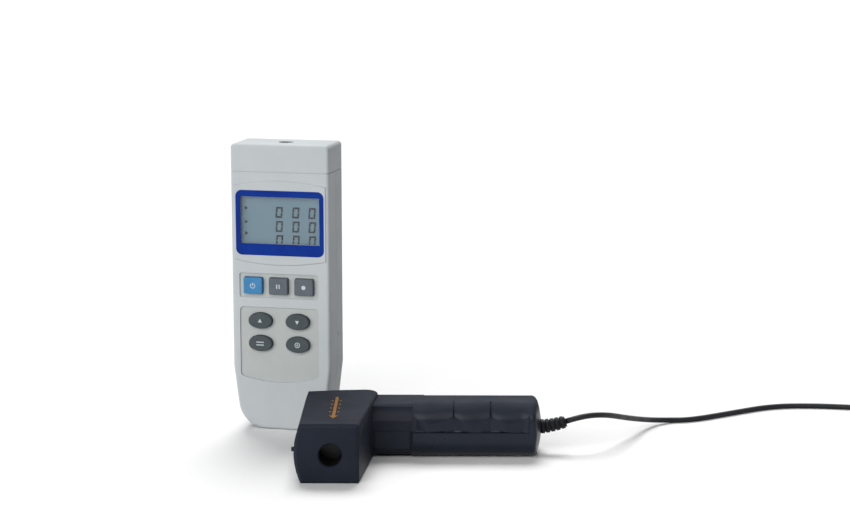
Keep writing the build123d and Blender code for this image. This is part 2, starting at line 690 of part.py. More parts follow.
def battery():
    """A nine volt block battery with its two round terminals."""
    low = BAY_BOTTOM + BAY_CLEARANCE
    half = BATTERY_WIDTH / 2
    cell = block(-half, half, BAY_FLOOR_Y, BAY_FLOOR_Y + BATTERY_DEPTH, low, low + BATTERY_HEIGHT)
    cell = fillet(cell.edges().filter_by(Axis.Z), BATTERY_CORNER)
    middle = BAY_FLOOR_Y + BATTERY_DEPTH / 2
    top = low + BATTERY_HEIGHT
    for side in (-1, 1):
        cell = cell + rod_z(side * TERMINAL_SPAN / 2, middle, TERMINAL_RADIUS, top, top + TERMINAL_HEIGHT)
    return cell


def trimmer_body():
    """The display's contrast trimmer on the board, bored for its screw."""
    half = TRIMMER_WIDTH / 2
    low, high = ADJUSTER_Z - half, ADJUSTER_Z + half
    body = block(TRIMMER_FACE - TRIMMER_REACH, TRIMMER_FACE, BOARD_BACK_Y, ADJUSTER_Y + half, low, high)
    bore = ADJUSTER_RADIUS + PIVOT_CLEARANCE
    return body - rod_x(ADJUSTER_Y, ADJUSTER_Z, bore, TRIMMER_FACE - ADJUSTER_LENGTH, TRIMMER_FACE)


def trimmer_screw():
    """The slotted screw that a small driver turns through the hole in the side."""
    end = TRIMMER_FACE + ADJUSTER_HEAD
    turned = rod_x(ADJUSTER_Y, ADJUSTER_Z, ADJUSTER_RADIUS, TRIMMER_FACE - ADJUSTER_LENGTH, end)
    low, high = ADJUSTER_Z - ADJUSTER_SLOT / 2, ADJUSTER_Z + ADJUSTER_SLOT / 2
    return turned - block(end - ADJUSTER_HEAD, end, -METER_DEPTH, METER_DEPTH, low, high)


def battery_snap():
    """The clip on the battery's terminals."""
    low = BAY_BOTTOM + BAY_CLEARANCE + BATTERY_HEIGHT
    half = BATTERY_WIDTH / 2 - 1
    near = BAY_FLOOR_Y + SNAP_MARGIN
    far = BAY_FLOOR_Y + BATTERY_DEPTH - SNAP_MARGIN
    clip = block(-half, half, near, far, low, low + TERMINAL_HEIGHT + SNAP_THICKNESS)
    clip = fillet(clip.edges().filter_by(Axis.Z), BATTERY_CORNER)
    middle = BAY_FLOOR_Y + BATTERY_DEPTH / 2
    bore = TERMINAL_RADIUS + FACE_CLEARANCE
    for side in (-1, 1):
        clip = clip - rod_z(side * TERMINAL_SPAN / 2, middle, bore, low, low + TERMINAL_HEIGHT)
    return clip


def battery_door():
    """The lid over the battery, which swings down on two stubs at its lower edge."""
    half = DOOR_HALF_WIDTH
    hinge_z = DOOR_BOTTOM + DOOR_HINGE_RADIUS
    top = DOOR_BOTTOM + DOOR_HEIGHT
    door = block(-half, half, DOOR_FRONT_Y + FACE_CLEARANCE, BACK_Y, hinge_z, top)
    door = door + rod_x(DOOR_AXIS_Y, hinge_z, DOOR_HINGE_RADIUS, -half, half)
    reach = half + DOOR_STUB_LENGTH
    door = door + rod_x(DOOR_AXIS_Y, hinge_z, DOOR_STUB_RADIUS, -reach, reach)
    # Thumb grooves near the edge that opens
    half, thick = DOOR_RIB_HALF_LENGTH, DOOR_RIB_WIDTH / 2
    for n in range(DOOR_RIBS):
        z = top - DOOR_RIB_MARGIN - n * DOOR_RIB_PITCH
        door = door - block(-half, half, BACK_Y - DOOR_RIB_DEPTH, BACK_Y + 1, z - thick, z + thick)
    # The stiffening lip inside stays clear of the bay walls
    inner = BAY_HALF_WIDTH - 1
    near, far = DOOR_FRONT_Y - DOOR_LIP_HEIGHT, DOOR_FRONT_Y + FACE_CLEARANCE
    return door + block(-inner, inner, near, far, BAY_TOP - DOOR_LIP_LOW, BAY_TOP - DOOR_LIP_HIGH)


def tilt_stand():
    """The folding stand: a plate with a barrel at its upper edge and an open middle."""
    half = STAND_HALF_WIDTH
    low = STAND_HINGE_Z - STAND_LENGTH
    front = BACK_Y - STAND_THICKNESS
    plate = block(-half, half, front, BACK_Y, low, STAND_HINGE_Z)
    plate = fillet(plate.edges().filter_by(Axis.Y).group_by(Axis.Z)[0], STAND_CORNER)
    hole = RectangleRounded(2 * (half - STAND_LEG), STAND_LENGTH - 3 * STAND_LEG, STAND_OPENING_CORNER)
    middle = low + STAND_LEG + (STAND_LENGTH - 3 * STAND_LEG) / 2
    plate = plate - seen_from_front(Pos(0, middle) * hole, front, BACK_Y)
    plate = plate + rod_x(STAND_AXIS_Y, STAND_HINGE_Z, STAND_BARREL_RADIUS, -half, half)
    reach = 2 * STAND_BARREL_RADIUS
    plate = plate & block(-half, half, front - reach, BACK_Y, low, STAND_HINGE_Z + reach)
    return plate - rod_x(STAND_AXIS_Y, STAND_HINGE_Z, STAND_PIN_RADIUS + PIVOT_CLEARANCE, -half, half)


def stand_pin():
    reach = STAND_HALF_WIDTH + STAND_GAP + STAND_PIN_BITE - FACE_CLEARANCE
    return rod_x(STAND_AXIS_Y, STAND_HINGE_Z, STAND_PIN_RADIUS - FACE_CLEARANCE / 2, -reach, reach)


def tripod_insert():
    """The brass insert for a tripod screw."""
    insert = rod_y(0, TRIPOD_Z, TRIPOD_OUTER - FACE_CLEARANCE, BACK_Y - TRIPOD_LENGTH, BACK_Y)
    return insert - rod_y(0, TRIPOD_Z, TRIPOD_RADIUS, BACK_Y - TRIPOD_LENGTH + TRIPOD_END_WALL, BACK_Y)


def screw(length):
    """A pan-head screw pointing along -Z, with its head's underside at the origin."""
    body = rod_z(0, 0, SCREW_HEAD_RADIUS, 0, SCREW_HEAD_HEIGHT)
    body = body + rod_z(0, 0, SCREW_RADIUS, -length, 0)
    for turn in (0, 90):
        slot = Box(2 * (SCREW_HEAD_RADIUS - SCREW_SLOT_MARGIN), SCREW_SLOT_WIDTH, SCREW_HEAD_HEIGHT)
        body = body - Pos(0, 0, SCREW_HEAD_HEIGHT) * Rot(0, 0, turn) * slot
    return body


def case_screws():
    """The four screws that hold the display unit's shells together."""
    seat = BACK_Y - SCREW_SINK - SCREW_HEAD_HEIGHT
    length = seat - PARTING_Y + SCREW_BITE
    # A quarter turn about X points the screw's head backwards
    return Compound(children=[Pos(x, seat, z) * Rot(-90, 0, 0) * screw(length) for x, z in boss_places()])


# Sensor head, drawn with its handle along +X and laid in place at the end

def head_plan(inset=0.0, crown=0.0):
    """The head from above: straight left side, and a right side that widens to the rear."""
    left = HEAD_LEFT + inset - crown
    front = SHELL_FRONT + inset
    rear = HEAD_REAR - inset
    bend_x, bend_y = HEAD_REAR_BEND
    outline = Polygon(
        (left, front), (HEAD_RIGHT_FRONT - inset, front), (HEAD_RIGHT_REAR - inset, rear),
        (bend_x, bend_y - inset), (left, HEAD_REAR_LEFT - inset), align=None,
    )
    corners = outline.vertices().sort_by(Axis.Y)[-2:]
    return fillet(corners.sort_by(Axis.X)[-1], HEAD_REAR_CORNER - inset)


def head_profile(inset=0.0):
    """The head from the front: flat above and below, with a rounded crown on its left."""
    low, high = inset, HEAD_THICKNESS - inset
    left, far = HEAD_LEFT + inset, HEAD_REACH
    edges = [
        ThreePointArc((left, low), (left - HEAD_CROWN, MID_Z), (left, high)),
        Line((left, high), (far, high)),
        Line((far, high), (far, low)),
        Line((far, low), (left, low)),
    ]
    return make_face(edges)


def head_body():
    """The outer form of the head behind its nose plate."""
    slab = extrude(head_plan(crown=HEAD_CROWN + 1), amount=HEAD_THICKNESS)
    flat_faces = slab.faces().filter_by(Axis.Z)
    rim = [e for f in flat_faces for e in f.edges() if abs(e.center().Y - SHELL_FRONT) > 1]
    slab = fillet(rim, HEAD_EDGE)
    head = slab & seen_from_front(head_profile(), SHELL_FRONT, HEAD_REAR)
    sight_x = HEAD_LEFT - HEAD_CROWN
    head = head + rod_x(SIGHT_Y, MID_Z, SIGHT_RADIUS, sight_x - SIGHT_HEIGHT, sight_x + 2)
    rib_z = HEAD_THICKNESS - THUMB_RIB_RADIUS + THUMB_RIB_RISE
    for n in range(THUMB_RIBS):
        x = THUMB_RIB_FIRST_X + n * THUMB_RIB_PITCH
        head = head + rod_y(x, rib_z, THUMB_RIB_RADIUS, THUMB_RIB_NEAR, THUMB_RIB_FAR)
    return head


def head_room():
    """The space inside the head."""
    plan = extrude(head_plan(PROBE_WALL, HEAD_CROWN), amount=HEAD_THICKNESS)
    # The mouth behind the nose plate is as wide as the room, so the front wall is left out
    plan = plan + Pos(0, -2 * PROBE_WALL, 0) * plan
    return plan & seen_from_front(head_profile(PROBE_WALL), SHELL_FRONT, HEAD_REAR)


def neck_section():
    """The neck's section: facets above the seam on the aperture's side, cut corners elsewhere."""
    far, low, high, cut = NECK_HALF_DEPTH, NECK_LOW, NECK_HIGH, NECK_SHOULDER
    return Polygon(
        (far - cut, high), *NECK_FACETS, (-far, low + cut), (cut - far, low), (far - cut, low),
        (far, low + cut), (far, high - cut), align=None,
    )


def neck_room():
    """The section of the space inside the neck."""
    half, low, high = NECK_HALF_DEPTH - 2 * NECK_WALL, NECK_LOW + NECK_WALL, NECK_HIGH - NECK_WALL
    return Pos(0, (low + high) / 2) * RectangleRounded(2 * half, high - low, NECK_WALL)


def neck_body():
    """The neck, with an upright slot at each end of the flat panel below its seam."""
    neck = seen_along_handle(neck_section(), HEAD_RIGHT_FRONT, NECK_END)
    front = -NECK_HALF_DEPTH
    low = NECK_LOW + NECK_SHOULDER
    for x in (HEAD_RIGHT_REAR - NECK_SHOULDER + NECK_SLOT_WIDTH, GRIP_START - NECK_SLOT_WIDTH):
        slot = block(x, x + NECK_SLOT_WIDTH, front - 1, front + NECK_SLOT_DEPTH, low, MID_Z)
        neck = neck - slot
    return neck


def grip_section(shrink=0.0):
    wide, tall = 2 * (GRIP_HALF_DEPTH - shrink), GRIP_THICKNESS - 2 * shrink
    return Pos(0, MID_Z) * RectangleRounded(wide, tall, GRIP_CORNER - shrink)


def grip_body():
    """The grip: above its seam, a slanted shoulder and three low bulges on the aperture's side."""
    grip = seen_along_handle(grip_section(), GRIP_START, GRIP_END)
    first_face = grip.faces().sort_by(Axis.X)[0]
    grip = fillet(first_face.edges(), GRIP_START_ROUND)
    front = -GRIP_HALF_DEPTH
    low = MID_Z + SEAM_WIDTH / 2
    shoulder = Polygon((-1, HEAD_THICKNESS), *GRIP_SHOULDER, (-1, low), align=None)
    shoulder = Pos(GRIP_START) * shoulder
    grip = grip - seen_from_front(shoulder, front - 1, front + GRIP_SHOULDER_DEPTH)
    ends = (GRIP_START, *GRIP_RIDGES, GRIP_END)
    for start, end in zip(ends, ends[1:]):
        half = (end - start) / 2
        radius = (half**2 + GRIP_BULGE**2) / (2 * GRIP_BULGE)
        waste = block(start, end, front - 1, front + GRIP_BULGE, low, HEAD_THICKNESS)
        grip = grip - (waste - rod_z((start + end) / 2, front + radius, radius, 0, HEAD_THICKNESS))
    rim = grip_section() - grip_section(GRIP_LINE_DEPTH + GRIP_BULGE / 2)
    for x in GRIP_RIDGES:
        line = seen_along_handle(rim, x - GRIP_LINE_WIDTH / 2, x + GRIP_LINE_WIDTH / 2)
        grip = grip - (line & block(GRIP_START, GRIP_END, front - 1, -GRIP_CORNER / 2, low, HEAD_THICKNESS))
    return grip


def probe_body():
    """The head, neck and grip as one outer form, hollowed, before it is split in two."""
    body = head_body() + neck_body() + grip_body()
    body = body - head_room()
    body = body - seen_along_handle(neck_room(), 0, GRIP_ROOM_START)
    body = body - seen_along_handle(grip_section(GRIP_WALL + GRIP_BULGE), GRIP_ROOM_START, GRIP_END)
    near, far = MID_Z - SEAM_WIDTH / 2, MID_Z + SEAM_WIDTH / 2
    front = -GRIP_HALF_DEPTH
    for y in (front - 1, GRIP_HALF_DEPTH - SEAM_DEPTH):
        seam = block(GRIP_START, GRIP_END, y, y + 1 + SEAM_DEPTH, near, far)
        body = body - seam
    return body


def probe_shells():
    """The upper and lower halves of the sensor head, with their screw posts."""
    body = probe_body()
    reach = 300
    upper = body & block(-reach, reach, -reach, reach, MID_Z, HEAD_THICKNESS)
    lower = body & block(-reach, reach, -reach, reach, 0, MID_Z)
    whole = PROBE_POST_RADIUS
    for x, y in PROBE_POSTS:
        roof = HEAD_THICKNESS - PROBE_WALL
        upper = upper + rod_z(x, y, whole, MID_Z, roof)
        lower = lower + rod_z(x, y, whole, PROBE_WALL, MID_Z)
        upper = upper - rod_z(x, y, SCREW_RADIUS + FACE_CLEARANCE, MID_Z, MID_Z + SCREW_BITE + 1)
        lower = lower - rod_z(x, y, SCREW_RADIUS + SCREW_CLEARANCE, 0, MID_Z)
        lower = lower - rod_z(x, y, SCREW_HEAD_RADIUS + SCREW_CLEARANCE, -1, SCREW_SINK + SCREW_HEAD_HEIGHT)
    return upper, lower


def probe_screws():
    """The four screws in the underside of the sensor head."""
    seat = SCREW_SINK + SCREW_HEAD_HEIGHT
    length = MID_Z + SCREW_BITE - seat
    return Compound(children=[Pos(x, y, seat) * Rot(180, 0, 0) * screw(length) for x, y in PROBE_POSTS])


def nose_plate():
    """The flat front of the head, round the aperture."""
    profile = head_profile(NOSE_INSET)
    plate = seen_from_front(profile, HEAD_FRONT, SHELL_FRONT)
    right = HEAD_RIGHT_FRONT - NOSE_INSET
    plate = plate & block(-HEAD_REACH, right, HEAD_FRONT, SHELL_FRONT, 0, HEAD_THICKNESS)
    plate = chamfer(plate.faces().sort_by(Axis.Y)[0].edges(), NOSE_CHAMFER)
    plate = plate - rod_y(0, MID_Z, APERTURE_RADIUS, HEAD_FRONT, SHELL_FRONT)
    mouth = plate.faces().sort_by(Axis.Y)[0].edges().filter_by(GeomType.CIRCLE).sort_by(SortBy.RADIUS)[0]
    return chamfer(mouth, APERTURE_CHAMFER)


def aperture_tube():
    """The dark tube behind the aperture, with a seat for the optic at its rear end."""
    outer = APERTURE_RADIUS + APERTURE_WALL
    tube = rod_y(0, MID_Z, outer, SHELL_FRONT, OPTIC_Y + OPTIC_THICKNESS)
    tube = tube - rod_y(0, MID_Z, APERTURE_RADIUS, SHELL_FRONT, OPTIC_Y)
    return tube - rod_y(0, MID_Z, OPTIC_RADIUS + FACE_CLEARANCE, OPTIC_Y, OPTIC_Y + OPTIC_THICKNESS)


def optic():
    return rod_y(0, MID_Z, OPTIC_RADIUS, OPTIC_Y, OPTIC_Y + OPTIC_THICKNESS)


def sensor_board():
    """The small board across the head, between the flat walls of both halves."""
    left, right = HEAD_LEFT + PROBE_WALL, HEAD_RIGHT_FRONT - PROBE_WALL
    low, high = PROBE_WALL, HEAD_THICKNESS - PROBE_WALL
    return block(left, right, SENSOR_BOARD_Y, SENSOR_BOARD_Y + BOARD_THICKNESS, low, high)


def color_sensor():
    half = SENSOR_SIZE / 2
    near = SENSOR_BOARD_Y - SENSOR_THICKNESS
    return block(-half, half, near, SENSOR_BOARD_Y, MID_Z - half, MID_Z + half)


def lamps():
    """The ring of small lamps round the sensor."""
    ring = []
    for n in range(LAMPS):
        angle = math.radians(45 + n * 360 / LAMPS)
        x, z = LAMP_CIRCLE * math.cos(angle), MID_Z + LAMP_CIRCLE * math.sin(angle)
        ring.append(rod_y(x, z, LAMP_RADIUS, SENSOR_BOARD_Y - LAMP_LENGTH, SENSOR_BOARD_Y))
    return Compound(children=ring)


def end_cap():
    """The domed end of the handle, with a spigot inside the two halves."""
    cap = seen_along_handle(grip_section(), GRIP_END, PROBE_END)
    cap = cap & Pos(PROBE_END - END_CAP_DOME, 0, MID_Z) * Sphere(END_CAP_DOME)
    cap = fillet(cap.faces().sort_by(Axis.X)[-1].edges(), END_CAP_ROUND)
    start = GRIP_END - END_CAP_SPIGOT
    wall = GRIP_WALL + GRIP_BULGE + FACE_CLEARANCE
    cap = cap + seen_along_handle(grip_section(wall), start, GRIP_END)
    cap = cap - seen_along_handle(grip_section(wall + END_CAP_WALL), start, PROBE_END - END_CAP_FLOOR)
    collar = RELIEF_FLANGE_RADIUS + FACE_CLEARANCE
    cap = cap - rod_x(0, RELIEF_Z, collar, start, PROBE_END - PROBE_WALL)
    return cap - rod_x(0, RELIEF_Z, RELIEF_BASE_RADIUS + SCREW_CLEARANCE, GRIP_END, PROBE_END + 1)


def relief_place():
    """The sleeve's own frame: its root in the middle of the end cap's hole, its +X rising to its tip."""
    return Pos(PROBE_END, 0, RELIEF_Z) * Rot(0, -RELIEF_RISE, 0)


def strain_relief():
    """The ribbed sleeve that the cord leaves through, with a collar inside the end cap."""
    base, narrow = RELIEF_BASE_RADIUS, RELIEF_TIP_RADIUS
    back = -RELIEF_SET_BACK
    outline = Polygon(
        (back, 0), (RELIEF_LENGTH, 0), (RELIEF_LENGTH, narrow), (0, base), (back, base), align=None
    )
    pitch = RELIEF_LENGTH / (RELIEF_GROOVES + 1)
    for n in range(RELIEF_GROOVES):
        x = (n + 1) * pitch
        radius = base + (narrow - base) * x / RELIEF_LENGTH
        cut = Pos(x, radius) * Rectangle(RELIEF_GROOVE_WIDTH, 2 * RELIEF_GROOVE_DEPTH)
        outline = outline - cut
    sleeve = relief_place() * revolve(outline, axis=Axis.X)
    root = PROBE_END - PROBE_WALL
    neck = rod_x(0, RELIEF_Z, RELIEF_NECK_RADIUS, root, PROBE_END + RELIEF_OVERLAP)
    collar = rod_x(0, RELIEF_Z, RELIEF_FLANGE_RADIUS, root - RELIEF_FLANGE_LENGTH, root)
    return sleeve + neck + collar


# Cord and plug, in the row frame

def relief_point(along):
    """A point on the strain relief's axis, in the row frame."""
    return (PROBE_PLACE * relief_place() * Pos(along, 0, 0)).position


def lead_points():
    """The cord's route from the strain relief to its coil, chosen by eye."""
    return [
        relief_point(RELIEF_LENGTH),
        relief_point(RELIEF_LENGTH + CORD_FIRST_RUN),
        Vector(229.2, -19.4, 24.4),
        Vector(239.9, 11.5, 15.0),
        Vector(250.7, 48.0, 5.0),
        Vector(263.5, 63.5, CORD_Z),
        Vector(280.5, 69.0, CORD_Z),
        Vector(306.2, 92.0, CORD_Z),
        Vector(332.5, 117.0, CORD_Z),
        Vector(364.5, 127.5, CORD_Z),
        Vector(399.0, COIL_Y - COIL_RADIUS, CORD_Z),
        Vector(COIL_X - CORD_DIAMETER, COIL_Y - COIL_RADIUS, CORD_Z),
    ]


def bend_radii(points):
    """As large an arc at each corner as its two runs allow."""
    radii = []
    for before, corner, after in zip(points, points[1:], points[2:]):
        first, second = corner - before, after - corner
        half_turn = math.radians(first.get_angle(second)) / 2
        shorter = min(first.length, second.length)
        radii.append(BEND_SHARE * shorter / math.tan(half_turn))
    return radii


def cord_lead():
    """The free stretch of cord: straight runs joined by tangent arcs."""
    points = lead_points()
    radii = bend_radii(points)
    path = FilletPolyline(*points, radius=radii)
    print("cord radii, mm:", [round(r) for r in radii])
    section = Plane(points[0], z_dir=points[1] - points[0]) * Circle(CORD_DIAMETER / 2)
    tube = sweep(section, path=path)
    wanted = math.pi * (CORD_DIAMETER / 2) ** 2 * path.length
    print("cord lead, mm:", round(path.length), "volume share:", round(tube.volume / wanted, 4))
    return tube


def coil_place(quarter):
    """The coil's centreline after so many quarter turns: it spirals in, climbs and spirals out."""
    angle = math.radians(-90 + 90 * quarter)
    inward = min(quarter, COIL_REVERSAL)
    outward = max(quarter - COIL_REVERSAL, 0)
    radius = COIL_RADIUS - COIL_PITCH / 4 * inward + COIL_PITCH / 4 * outward
    start, end = COIL_CLIMB
    share = min(max((quarter - start) / (end - start), 0), 1)
    z = CORD_Z + COIL_LAYER * share * share * (3 - 2 * share)
    return Vector(COIL_X + radius * math.cos(angle), COIL_Y + radius * math.sin(angle), z)


def coil_heading(quarter):
    """The direction along the coil, square to its straight ends at both ends."""
    if quarter in (0, COIL_QUARTERS):
        angle = math.radians(90 * quarter)
        return Vector(math.cos(angle), math.sin(angle), 0)
    step = 0.01
    return (coil_place(quarter + step) - coil_place(quarter - step)).normalized()


def biarc(start, start_way, end, end_way):
    """Two arcs that leave start and reach end along the given ways."""
    chord = end - start
    both = start_way + end_way
    a = 2 * (1 - start_way.dot(end_way))
    b = 2 * chord.dot(both)
    reach = (-b + math.sqrt(b * b + 4 * a * chord.dot(chord))) / (2 * a)
    middle = (start + start_way * reach + end - end_way * reach) * 0.5
    first = Edge.make_tangent_arc(start, start_way, middle)
    return [first, Edge.make_tangent_arc(middle, first % 1, end)]


def cord_coil():
    """The spare cord, wound into a flat coil of two layers."""
    first = coil_place(0)
    last = coil_place(COIL_QUARTERS)
    edges = [Edge.make_line(first - coil_heading(0) * CORD_DIAMETER, first)]
    for n in range(COIL_QUARTERS):
        edges += biarc(coil_place(n), coil_heading(n), coil_place(n + 1), coil_heading(n + 1))
    edges.append(Edge.make_line(last, last + coil_heading(COIL_QUARTERS) * COIL_TAIL))
    path = Wire(edges)
    turned = RegularPolygon(CORD_DIAMETER / 2, COIL_SIDES, rotation=180 / COIL_SIDES)
    section = Plane(path @ 0, x_dir=(0, 1, 0), z_dir=path % 0) * turned
    tube = sweep(section, path=path)
    report_gap(edges)
    print("cord coil, mm:", round(path.length), "valid:", tube.is_valid)
    return tube


def report_gap(edges):
    """Prints the least gap between stretches of the coil that aren't neighbours."""
    spots, along, total = [], [], 0.0
    for edge in edges:
        steps = max(2, round(edge.length / 2))
        for n in range(steps):
            spots.append(edge @ (n / steps))
            along.append(total + edge.length * n / steps)
        total += edge.length
    least = min(
        (spots[i] - spots[j]).length
        for i in range(len(spots))
        for j in range(i)
        if along[i] - along[j] > 8 * CORD_DIAMETER
    )
    print("least gap in the coil, mm:", round(least - CORD_DIAMETER, 2))


def plug_place():
    """The plug's own frame, its -Z end on the coil's end and +Z towards its pins."""
    end = coil_place(COIL_QUARTERS) + coil_heading(COIL_QUARTERS) * COIL_TAIL
    return Plane(end, z_dir=coil_heading(COIL_QUARTERS)).location


def plug_boot():
    boot = Solid.make_cone(PLUG_BOOT_RADIUS, PLUG_RADIUS - PLUG_BOOT_END_STEP, PLUG_BOOT_LENGTH)
    return plug_place() * boot


def plug_grip():
    """The plug's finger grip, fluted all round."""
    grip = rod_z(0, 0, PLUG_RADIUS, 0, PLUG_GRIP_LENGTH)
    grip = chamfer(grip.edges(), PLUG_GRIP_CHAMFER)
    reach = PLUG_RADIUS + PLUG_FLUTE_OFFSET
    for n in range(PLUG_GRIP_FLUTES):
        angle = math.radians((n + 0.5) * 360 / PLUG_GRIP_FLUTES)
        x, y = reach * math.cos(angle), reach * math.sin(angle)
        grip = grip - rod_z(x, y, PLUG_FLUTE_RADIUS, PLUG_FLUTE_START, PLUG_GRIP_LENGTH - PLUG_FLUTE_END)
    return plug_place() * Pos(0, 0, PLUG_BOOT_LENGTH) * grip


def plug_shell():
    """The plug's metal sleeve, which fits the socket's bore."""
    radius = SOCKET_BORE_RADIUS - PLUG_SHELL_CLEARANCE
    sleeve = rod_z(0, 0, radius, 0, PLUG_SHELL_LENGTH)
    sleeve = sleeve - rod_z(0, 0, radius - PLUG_SHELL_WALL, 1, PLUG_SHELL_LENGTH)
    return plug_place() * Pos(0, 0, PLUG_BOOT_LENGTH + PLUG_GRIP_LENGTH) * sleeve


def plug_pins():
    pins = [rod_z(x, y, PLUG_PIN_RADIUS, 1, 1 + PLUG_PIN_LENGTH) for x, y in contact_places()]
    place = plug_place() * Pos(0, 0, PLUG_BOOT_LENGTH + PLUG_GRIP_LENGTH)
    return Compound(children=[place * pin for pin in pins])


def all_nodes():
    """Every separate piece, by the name of its node."""
    nodes = {
        "front_shell": front_shell(),
        "rear_shell": rear_shell(),
        "top_cap": top_cap(),
        "display_bezel": display_bezel(),
        "display_lens": display_lens(),
        "lcd_glass": lcd_glass(),
        "lcd_holder": lcd_holder(),
        "contact_strips": contact_strips(),
        "keypad_mat": keypad_mat(),
        "main_board": main_board(),
        "board_components": board_components(),
        "socket_shell": socket_shell(),
        "socket_insert": socket_insert(),
        "trimmer_body": trimmer_body(),
        "trimmer_screw": trimmer_screw(),
        "battery": battery(),
        "battery_snap": battery_snap(),
        "battery_door": battery_door(),
        "tilt_stand": tilt_stand(),
        "stand_pin": stand_pin(),
        "tripod_insert": tripod_insert(),
        "case_screws": case_screws(),
    }
    for name, x, z, outline in key_table():
        nodes[name] = key(x, z, outline)
    upper, lower = probe_shells()
    probe_pieces = {
        "probe_upper_shell": upper,
        "probe_lower_shell": lower,
        "nose_plate": nose_plate(),
        "aperture_tube": aperture_tube(),
        "optic": optic(),
        "sensor_board": sensor_board(),
        "color_sensor": color_sensor(),
        "lamps": lamps(),
        "end_cap": end_cap(),
        "strain_relief": strain_relief(),
        "probe_screws": probe_screws(),
    }
    for name, piece in probe_pieces.items():
        nodes[name] = PROBE_PLACE * piece
    nodes["cord_lead"] = cord_lead()
    nodes["cord_coil"] = cord_coil()
    nodes["plug_boot"] = plug_boot()
    nodes["plug_grip"] = plug_grip()
    nodes["plug_shell"] = plug_shell()
    nodes["plug_pins"] = plug_pins()
    return nodes


os.makedirs("parts", exist_ok=True)
for node_name, shape in all_nodes().items():
    export_step(shape, f"parts/{node_name}.step")
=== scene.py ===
import math

import bmesh
import bpy
from mathutils import Euler, Matrix, Vector


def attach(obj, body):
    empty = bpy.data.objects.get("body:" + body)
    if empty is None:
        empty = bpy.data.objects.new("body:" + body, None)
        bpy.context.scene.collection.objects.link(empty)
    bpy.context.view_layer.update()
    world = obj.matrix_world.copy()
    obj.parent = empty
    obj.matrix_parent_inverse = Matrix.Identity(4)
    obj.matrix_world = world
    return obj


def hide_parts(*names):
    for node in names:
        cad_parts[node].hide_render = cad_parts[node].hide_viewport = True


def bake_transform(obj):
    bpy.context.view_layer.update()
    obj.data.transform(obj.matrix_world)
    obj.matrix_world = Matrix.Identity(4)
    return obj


# A hand-held color meter with its wired sensor head, in metres, in the CAD model's own frame:
# the display unit stands on the floor and faces -Y, its base centred on the origin.

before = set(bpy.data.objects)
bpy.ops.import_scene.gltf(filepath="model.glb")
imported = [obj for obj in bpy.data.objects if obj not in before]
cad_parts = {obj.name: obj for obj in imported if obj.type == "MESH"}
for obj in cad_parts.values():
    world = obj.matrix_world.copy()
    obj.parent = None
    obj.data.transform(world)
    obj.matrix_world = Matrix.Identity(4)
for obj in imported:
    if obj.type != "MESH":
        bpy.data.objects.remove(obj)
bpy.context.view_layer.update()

MM = 0.001
RIGHT, AWAY, UP = Vector((1, 0, 0)), Vector((0, 1, 0)), Vector((0, 0, 1))

# Camera: where the photograph was taken from
CAMERA_PLACE = Vector((0.3994, -1.3330, 0.361))
CAMERA_PITCH = math.radians(10.05)
CAMERA_YAW = math.radians(12.7)
CAMERA_LENS = 84.83

# Floor and sky: as the camera sees the floor, and as it lights the object
FLOOR_SIZE = 30.0
FLOOR_ROUGHNESS = 0.9
FLOOR_SEEN = 0.97
FLOOR_BOUNCE = 0.5
SKY_STRENGTH = 0.13
# In gloss the sky is dark on the camera's side and turns white between these Y of a ray's way
SKY_GLOSS = 0.35
SKY_TURN = (-0.1, 0.6)
# Each lamp: name, strength, angular size in degrees, and the way its light goes
LAMPS = [
    ("top_light", 2.45, 34, (0.15, -0.50, -0.86)),
    ("front_light", 2.1, 50, (0.50, 0.84, -0.17)),
    ("high_light", 0.85, 34, (-0.06, 0.78, -0.62)),
]

# Display unit, from its CAD sizes: the planes that prints and films lie on, and the back
PANEL_Y = -17.0 * MM
KEY_FACE_Y = -20.2 * MM
GLASS_Y = -14.8 * MM
BACK_Y = 18.0 * MM

# Sensor head, from its CAD sizes: where it lies, and places along its handle
PROBE_PLACE = (
    Matrix.Translation((52.5 * MM, -65.5 * MM, 0)) @ Matrix.Rotation(math.radians(12.2), 4, "Z")
)
HEAD_TOP = 39.0 * MM
MIDDLE_Z = 18.8 * MM
RELIEF_Z = 18.0 * MM
GRIP_TIP = 138.1 * MM
GRIP_START = 51.0 * MM
GRIP_RIDGES = (79.2 * MM, 103.8 * MM)
GRIP_END = 129.6 * MM


def srgb(red, green, blue):
    """A colour as it looks on a screen, 0 to 255, as the linear values that a shader takes."""
    shares = []
    for value in (red, green, blue):
        share = value / 255
        shares.append(share / 12.92 if share <= 0.04045 else ((share + 0.055) / 1.055) ** 2.4)
    return (*shares, 1.0)


def smooth_step(value, start, end):
    """0 where value is at start, 1 at end, smooth between them."""
    share = min(max((value - start) / (end - start), 0), 1)
    return share * share * (3 - 2 * share)


# Shader nodes

def noise_node(tree, place, scale, detail, rough):
    node = tree.nodes.new("ShaderNodeTexNoise")
    node.inputs["Scale"].default_value = scale
    node.inputs["Detail"].default_value = detail
    node.inputs["Roughness"].default_value = rough
    tree.links.new(place, node.inputs["Vector"])
    return node.outputs["Fac"]


def add_bump(tree, height, strength, distance, before):
    """A bump on top of an earlier one, if there is one."""
    bump = tree.nodes.new("ShaderNodeBump")
    bump.inputs["Strength"].default_value = strength
    bump.inputs["Distance"].default_value = distance
    tree.links.new(height, bump.inputs["Height"])
    if before is not None:
        tree.links.new(before, bump.inputs["Normal"])
    return bump.outputs["Normal"]


def set_socket(tree, socket, value):
    """Gives a socket a number, or the output of another node."""
    if isinstance(value, float):
        socket.default_value = value
    else:
        tree.links.new(value, socket)


def calculate(tree, operation, first, second):
    node = tree.nodes.new("ShaderNodeMath")
    node.operation = operation
    for socket, value in zip(node.inputs, (first, second)):
        set_socket(tree, socket, value)
    return node.outputs["Value"]


